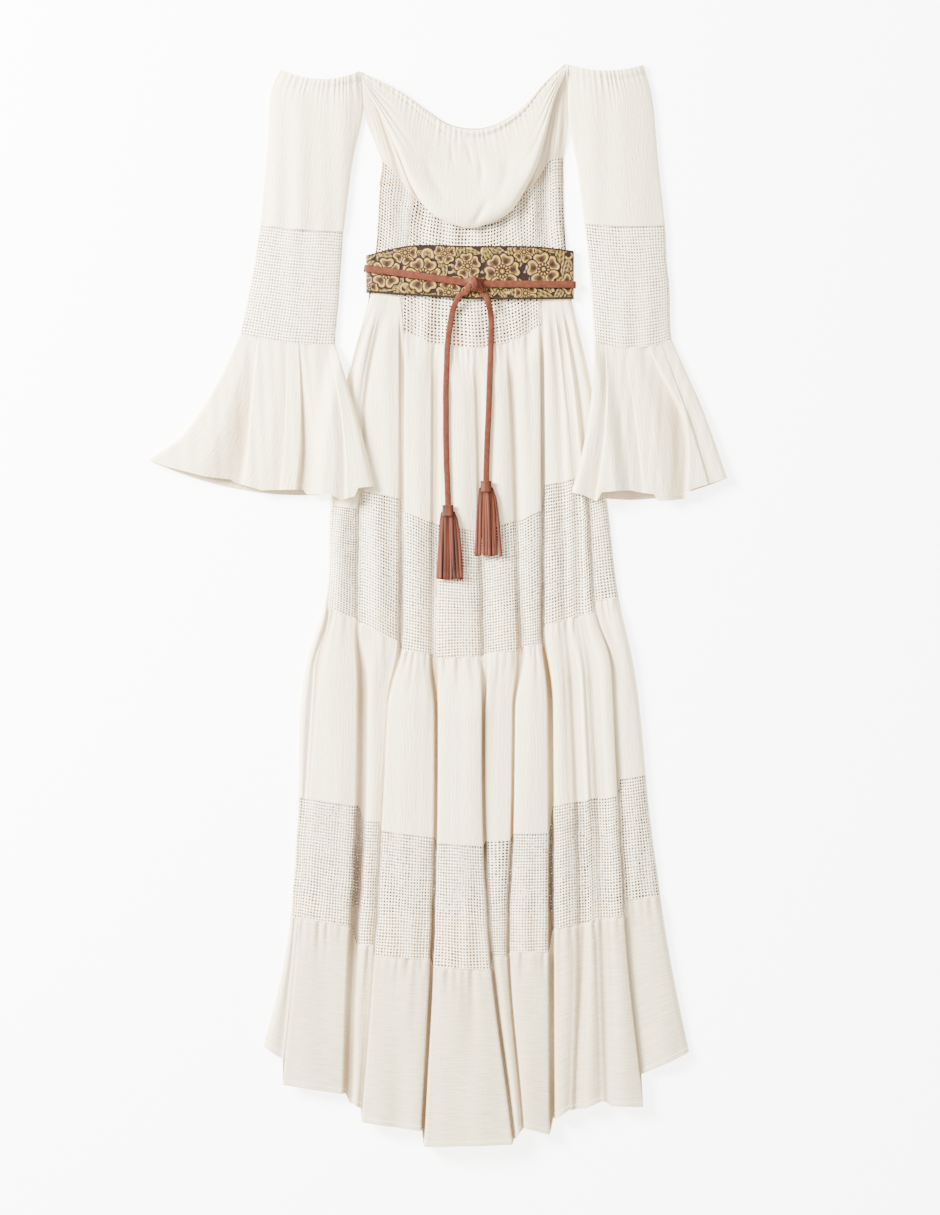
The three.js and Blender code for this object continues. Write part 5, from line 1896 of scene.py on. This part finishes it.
@dataclass
class Relief:
    """The belt's tooled relief: heights and paint worked out from its ornaments."""

    x: Array
    y: Array
    line_share: float = 0.35  # shade below which the paint goes over into the dark outline
    sage_turn: float = 230.0  # leaves turned further than this are sage

    def __post_init__(self) -> None:
        """Starts from the plain ground, which is cut low and stippled."""
        stipple = ripple(self.x * 3, self.y * 3, 8, 9, 7)
        self.high = 0.12 * stipple
        ground = lerp(rgb(UMBER), rgb(MAUVE), 0.45)
        self.paint = ground[None, None] * (1 + 0.25 * stipple[..., None])

    def lay(self, mask: Array, high: Array, shade: Array, low: str, top: str) -> None:
        """Sets an ornament in: its height, and its paint from low to top by shade, where mask is true.

        Args:
            mask: where the ornament is.
            high: its height.
            shade: its paint's share.
            low: hex of its dark paint.
            top: hex of its light paint.
        """
        self.high = np.where(mask, high, self.high)
        share = np.clip(shade, 0, 1)[..., None]
        outline = lerp(rgb(UMBER), rgb(low), share / self.line_share)
        filled = lerp(rgb(low), rgb(top), (share - self.line_share) / (1 - self.line_share))
        painted = np.where(share < self.line_share, outline, filled)
        self.paint = np.where(mask[..., None], painted, self.paint)

    def add(self, motif: Ornament) -> None:
        """Adds one ornament."""
        turn = math.radians(motif.turn)
        dx, dy = self.x - motif.x, self.y - motif.y
        a = (dx * math.cos(turn) + dy * math.sin(turn)) / motif.size
        b = (dy * math.cos(turn) - dx * math.sin(turn)) / motif.size
        if motif.kind is Motif.LEAF:
            self._leaf(a, b, OLIVE if motif.turn < self.sage_turn else SAGE)
        elif motif.kind is Motif.SCROLL:
            self._scroll(a, b)
        else:
            self._flower(a, b, motif.petals)

    def _leaf(self, a: Array, b: Array, green: str) -> None:
        """A pointed leaf with a gilt rim, a midrib and side veins."""
        t = np.clip((a + 1) / 2, 0, 1)
        half = 0.46 * np.sin(math.pi * t**0.8) ** 0.8 + 1e-3
        b = b - 0.16 * np.sin(math.pi * t)
        out = np.abs(b) / half
        veins = np.cos(2 * math.pi * (2.6 * a - 2.0 * np.abs(b)))
        rib = bell(b, 0.06)
        edge = ramp((1 - out) / 0.32)
        rim = bell(out - 0.66, 0.15)
        high = (0.35 + 0.4 * rim + 0.14 * veins + 0.3 * rib) * edge
        shade = edge * (0.42 + 0.36 * rim + 0.12 * veins + 0.3 * rib)
        self.lay((np.abs(a) < 1) & (out < 1), high, shade, green, GOLD)

    def _scroll(self, a: Array, b: Array) -> None:
        """A curling stem that tapers to its tip."""
        r, angle = np.hypot(a, b), np.arctan2(b, a)
        t = (angle / math.pi + 1) / 2
        out = np.abs(r - (0.85 - 0.4 * t)) / (0.3 - 0.16 * t)
        self.lay(out < 1, 0.6 * (1 - out**2), 1.15 * (1 - out**2), OCHRE, GOLD)

    def _flower(self, a: Array, b: Array, petals: int) -> None:
        """A flower of broad notched petals with gilt rims, round a ring of beads and an eye."""
        r, angle = np.hypot(a, b), np.arctan2(b, a)
        half = 0.92 * math.sin(math.pi / petals)
        for k in range(petals):
            turn = angle - 2 * math.pi * k / petals
            out_along, aside = r * np.cos(turn), r * np.sin(turn)
            notch = 0.34 * bell(aside, 0.3 * half) * ramp((out_along - 0.5) / 0.3)
            out = np.hypot((out_along - 0.62) / 0.4, aside / (half * (0.62 + 0.5 * out_along))) + notch
            rim = bell(out - 0.7, 0.12)
            edge = ramp((1 - out) / 0.26)
            stroke = bell(aside, 0.28 * half) * ramp((0.86 - out_along) / 0.3) * (1 - rim)
            high = (0.5 + 0.5 * rim - 0.3 * (1 - out) - 0.1 * stroke) * edge
            self.lay(out < 1, high, edge * (0.46 + 0.54 * rim - 0.14 * stroke), ROSEWOOD, GOLD)
        beads = 0.5 + 0.5 * np.cos(2 * petals * angle)
        ring = bell(r - 0.27, 0.08)
        dome = np.clip(1 - (r / 0.15) ** 2, 0, 1)
        high = 0.35 + 0.5 * ring * beads + 0.5 * dome
        self.lay(r < 0.38, high, 0.05 + ring * beads + 0.9 * dome, OCHRE, GOLD)


def belt_height(x: Numbers) -> Numbers:
    """Height of the belt's outside at x."""
    return BELT_REST + BELT_CROWN * (1 - (x / BELT_HALF) ** 2)


@dataclass
class Belt:
    """The tooled sash: its front, its back under the dress, and its edges."""

    pitch: float = 0.56
    height: float = 68.0  # sets how many rows its grid has
    deep: float = 1.1  # how far the relief stands over its ground
    ground: float = 0.9  # how far the ground lies under the belt's outside
    wall: float = 2.2
    foot: float = 1.2  # its turned-down edges go no lower
    end_height: float = 2.6
    end_round: float = 5.0
    edge_drop: float = 0.9
    edge_round: float = 1.4
    band: float = 2.4  # plain band round the tooling
    piping: tuple[float, float] = (1.1, 0.9)  # how far in the band's ridge runs, and its half width
    band_colour: str = "#22150c"
    edge_colour: str = "#3d2c20"

    def build(self, shop: Workshop) -> None:
        """Makes the front and dresses the back."""
        x = np.linspace(-BELT_HALF, BELT_HALF, round(2 * BELT_HALF / self.pitch) + 1)
        v = np.linspace(0, 1, round(self.height / self.pitch) + 1)
        top, foot = smooth_table(*BELT_TOP, x), smooth_table(*BELT_FOOT, x)
        y = lerp(top[None], foot[None], v[:, None])
        x = np.broadcast_to(x, y.shape)
        relief = Relief(x, y)
        for motif in filling() + FLOWERS:
            relief.add(motif)
        border = np.minimum(top - y, y - foot)
        in_band = border < self.band
        ridge, half = self.piping
        relief.high = np.where(in_band, 0.5 * bell(border - ridge, half), relief.high)
        relief.paint = np.where(in_band[..., None], rgb(self.band_colour), relief.paint)
        inside = rounded((BELT_HALF - np.abs(x)) / self.end_round)
        z = belt_height(x) - self.ground + self.deep * relief.high
        z = self.end_height + (z - self.end_height) * inside
        z -= self.edge_drop * (1 - np.clip(border / self.edge_round, 0, 1)) ** 2
        front = self._shell(np.stack([x, y, z], axis=2), relief.paint)
        settle(front, ["belt_front"], shop.tooling)
        for slot in frame["nodes"]["belt_back"].material_slots:
            slot.material = shop.backing

    def _shell(self, points: Array, paint: Array) -> Object:
        """The front from a grid of its outside, with turned-down edges and its painted colours."""
        rows, columns = points.shape[:2]
        count = rows * columns
        rim = grid_rim(rows, columns)
        size = len(rim)
        flat = points.reshape(-1, 3)
        skirt = flat[rim] - np.array([0, 0, self.wall])
        skirt[:, 2] = np.maximum(skirt[:, 2], self.foot)
        walls = [[rim[k], rim[(k + 1) % size], count + (k + 1) % size, count + k] for k in range(size)]
        faces = grid_faces(rows, columns).tolist() + walls
        obj = make_object("belt_tooled", np.vstack([flat, skirt]), faces)
        colours = np.ones((count + size, 4))
        colours[:count, :3] = np.clip(paint.reshape(-1, 3), 0, 1)
        colours[count:, :3] = rgb(self.edge_colour)
        attribute = obj.data.color_attributes.new(PAINT, "FLOAT_COLOR", "POINT")
        attribute.data.foreach_set("color", colours.ravel())
        return obj


@dataclass
class Tie:
    """The leather lace: its two runs over the belt, its knot and its two tails."""

    form: FrontForm
    over_dress: float = 0.4  # how far the tails lie over what carries them
    over_belt: float = 0.5
    beside: float = 10.0  # cloth this far beside a tail still holds it up

    def rest_height(self, x: float, y: float) -> float:
        """How high a tail lies on the belt or on the dress."""
        foot = float(smooth_table(*BELT_FOOT, x))
        on_dress = self.form.top_near(x, y, self.beside + TAIL_WIDTH / 2)
        return max(on_dress, lerp(on_dress, belt_height(x), float(ramp((y - foot + 20) / 12))))

    def tail_path(self, side: str) -> Array:
        """The tail's centreline in mm."""
        lift = self.over_dress + TAIL_THICK / 2
        route = [(x, y, self.rest_height(x, y) + lift) for x, y in TAILS[side]]
        route[0] = (*route[0][:2], route[1][2])
        return along(spline(route), np.linspace(0, 1, 120))

    def build_tails(self, shop: Workshop) -> None:
        for side in ("left", "right"):
            path = self.tail_path(side)
            obj = make_object(f"tail_{side}", *sweep(path, TAIL_WIDTH, TAIL_THICK))
            settle(obj, [f"tie_tail_{side}"], shop.lace)

    def build_wraps(self, shop: Workshop) -> None:
        """Makes the two runs over the belt, and the knot."""
        for side, sign in (("left", -1), ("right", 1)):
            outside = sign * (BELT_HALF + 0.3 + LACE_THICK / 2)
            x = np.concatenate([
                [outside, outside, outside - sign * 0.6],
                np.linspace(sign * (BELT_HALF - 3), KNOT_X + sign * (KNOT_HALF - 3), 40)])
            over = belt_height(x[3:]) + self.over_belt + LACE_THICK / 2
            z = np.concatenate([[1.4, 6.0, 10.2], over])  # up round the belt's end, then over it
            share = np.clip(np.abs(x - KNOT_X) / abs(outside - KNOT_X), 0, 1)
            y = lerp(KNOT_Y, TIE_ENDS[side], share)
            path = along(spline(np.stack([x, y, z], axis=1), 6), np.linspace(0, 1, 90))
            obj = make_object(f"wrap_{side}", *sweep(path, LACE_WIDTH, LACE_THICK))
            settle(obj, [f"tie_wrap_{side}"], shop.lace)
        settle(self._knot(), ["tie_knot"], shop.lace)

    def _knot(self) -> Object:
        """The overhand knot: three short turns of lace that cross over each other."""
        z = float(belt_height(KNOT_X)) + 2.6
        turns = [
            [(-11, 3, 0), (-6, 4, 4.5), (0, 1.5, 7.2), (6, -3, 6), (9, -8, 2.4), (9, -11, 0.6)],
            [(11, 2, 0), (6, 4.5, 3.5), (0, 2, 4.6), (-6, -3.5, 4.5), (-8, -8, 2.6), (-9, -11, 0.6)],
            [(-3, 8, 0.4), (-1.5, 6.5, 5), (0.5, 1, 9.0), (2, -5, 7.6), (2.5, -8.5, 3.0), (2.5, -9.5, 0.6)],
        ]
        parts = []
        for turn in turns:
            route = [(KNOT_X + x, KNOT_Y + y, z + dz) for x, y, dz in turn]
            path = along(spline(route, 12), np.linspace(0, 1, 36))
            parts.append(sweep(path, LACE_WIDTH - 1.4, LACE_THICK + 0.4))
        return make_object("knot", *joined(parts))

    def build_tassels(self, shop: Workshop) -> None:
        """Makes both tassels, each a bound head with strips fanning from it."""
        for side, place in TASSELS.items():
            levels = (place.y, (place.y + place.foot_y) / 2, place.foot_y)
            rest = 0.6 + max(self.form.top_near(place.x, level, TASSEL_SPREAD) for level in levels)
            parts = [self._head(place, rest), *self._strips(place, rest, 70 if side == "left" else 80)]
            obj = make_object(f"tassel_{side}_leather", *joined(parts))
            settle(obj, [f"tassel_{side}"], shop.fringe)

    def _head(self, place: TasselPlace, rest: float) -> MeshData:
        """The head: a rolled band with a lip at its top."""
        around = 28
        angle = np.linspace(0, 2 * math.pi, around, endpoint=False)
        profile = [(0.4, 0.55), (0.2, 0.86), (0.0, 0.96), (-1.2, 1.0), (-2.4, 0.9), (-4.5, 0.93), (-8, 0.97),
                   (-HEAD_LONG, 1.0), (-HEAD_LONG - 3, 1.12)]
        points = []
        for down, wide in profile:
            ring_x = place.x + np.cos(angle) * HEAD_HALF * 0.86 * wide
            ring_z = rest + HEAD_THICK / 2 + np.sin(angle) * HEAD_THICK / 2 * wide
            points.append(np.stack([ring_x, np.full(around, place.y + down), ring_z], axis=1))
        faces = grid_faces(len(profile), around, ring=True)[:, ::-1].tolist() + [list(range(around))]
        return MeshData(np.vstack(points), faces, np.zeros((around * len(profile), 2)))

    def _strips(self, place: TasselPlace, rest: float, seed: int) -> list[MeshData]:
        """Strips of leather in two layers, each hanging a little differently."""
        rng = np.random.default_rng(seed)
        t = np.linspace(0, 1, 9)
        parts = []
        for upper, count, high, outward in ((0, 7, -1.5, -1), (1, 8, 1.9, 1)):
            for k in range(count):
                share = (k - (count - 1) / 2) / ((count - 1) / 2)
                root = place.x + share * (HEAD_HALF - 2.4)
                tip = place.foot_x + share * (TASSEL_SPREAD - 2.6) + rng.uniform(-1, 1)
                foot = place.foot_y + rng.uniform(0, 2.5)
                level = rest + HEAD_THICK / 2 + high + rng.uniform(-0.4, 0.4)
                x = lerp(root, tip, t**0.5) + rng.uniform(-0.7, 0.7) * np.sin(math.pi * t)
                y = lerp(place.y - HEAD_LONG + 2, foot, t)
                z = level + 0.7 * np.sin(math.pi * t) * outward - 1.2 * upper * share**2
                path = np.stack([x, y, z], axis=1)
                parts.append(sweep(path, rng.uniform(3.8, 5.0), 1.3, around=8))
        return parts


@dataclass(frozen=True)
class Studio:
    """Plain pale floor, soft light and the camera straight above, in mm except for the lamp."""

    centre_y: float = -444.7
    distance: float = 3600.0
    shown_height: float = 1620.0
    sensor: float = 36.0
    surround: float = 2.2
    surround_colour: tuple[float, ...] = (1.0, 0.99, 0.975, 1.0)
    lamp_watts: float = 900.0
    lamp_size: float = 1.3
    lamp_place: tuple[float, float, float] = (-2.5, 0.9, 1.7)
    lamp_aim: tuple[float, float, float] = (0, -0.45, 0)
    floor_half: float = 6000.0
    floor_under: float = -0.4
    floor_colour: str = "#fbfbfa"
    floor_glow: float = 4.0

    def camera(self) -> None:
        """Sets the camera at the photo's angle, with the picture's up along +Y."""
        data = bpy.data.cameras.new("camera")
        data.sensor_fit = "VERTICAL"
        data.sensor_height = self.sensor
        data.lens = self.sensor * self.distance / self.shown_height
        camera = new_object("camera", data)
        camera.location = (0, self.centre_y * MM, self.distance * MM)
        bpy.context.scene.camera = camera

    def light(self) -> None:
        """One large soft light from the upper left, and an even pale surround."""
        world = bpy.data.worlds.new("surround")
        world.use_nodes = True
        background = world.node_tree.nodes["Background"]
        background.inputs["Color"].default_value = self.surround_colour
        background.inputs["Strength"].default_value = self.surround
        bpy.context.scene.world = world
        data = bpy.data.lights.new("softbox", "AREA")
        data.shape = "DISK"
        data.size = self.lamp_size
        data.energy = self.lamp_watts
        lamp = new_object("softbox", data)
        lamp.location = self.lamp_place
        east, north, up = np.array(self.lamp_aim) - np.array(self.lamp_place)
        lamp.rotation_euler = (0, -math.atan2(math.hypot(east, north), -up), math.atan2(north, east))

    def floor(self) -> None:
        """A wide floor just under the dress, lit so that it reads as plain white paper."""
        half, under = self.floor_half, self.floor_under
        corners = [(x * half, y * half, under) for x, y in ((-1, -1), (1, -1), (1, 1), (-1, 1))]
        obj = make_object("floor", np.array(corners), [[0, 1, 2, 3]])
        bench = ShaderBench("pale_floor", Roughness=0.9, Base_Color=linear(self.floor_colour),
                            Emission_Color=(1.0, 1.0, 1.0, 1.0), Emission_Strength=self.floor_glow)
        obj.data.materials.append(bench.material)


def main() -> None:
    """Builds the scene: camera, cords, then the dress from the back up and the belt on it."""
    studio = Studio()
    studio.camera()
    form = FrontForm()
    shop = open_workshop()
    tie = Tie(FrontForm(panel_pitch=8.0, fold_steps=5))
    tie.build_tassels(shop)
    tie.build_tails(shop)
    tie.build_wraps(shop)
    Skirt(form).build(shop)
    Bodice(form).build(shop)
    Yoke(form).build(shop)
    Sleeve("left").build(shop)
    Sleeve("right").build(shop)
    Belt().build(shop)
    studio.light()
    studio.floor()


if __name__ == "__main__":
    main()
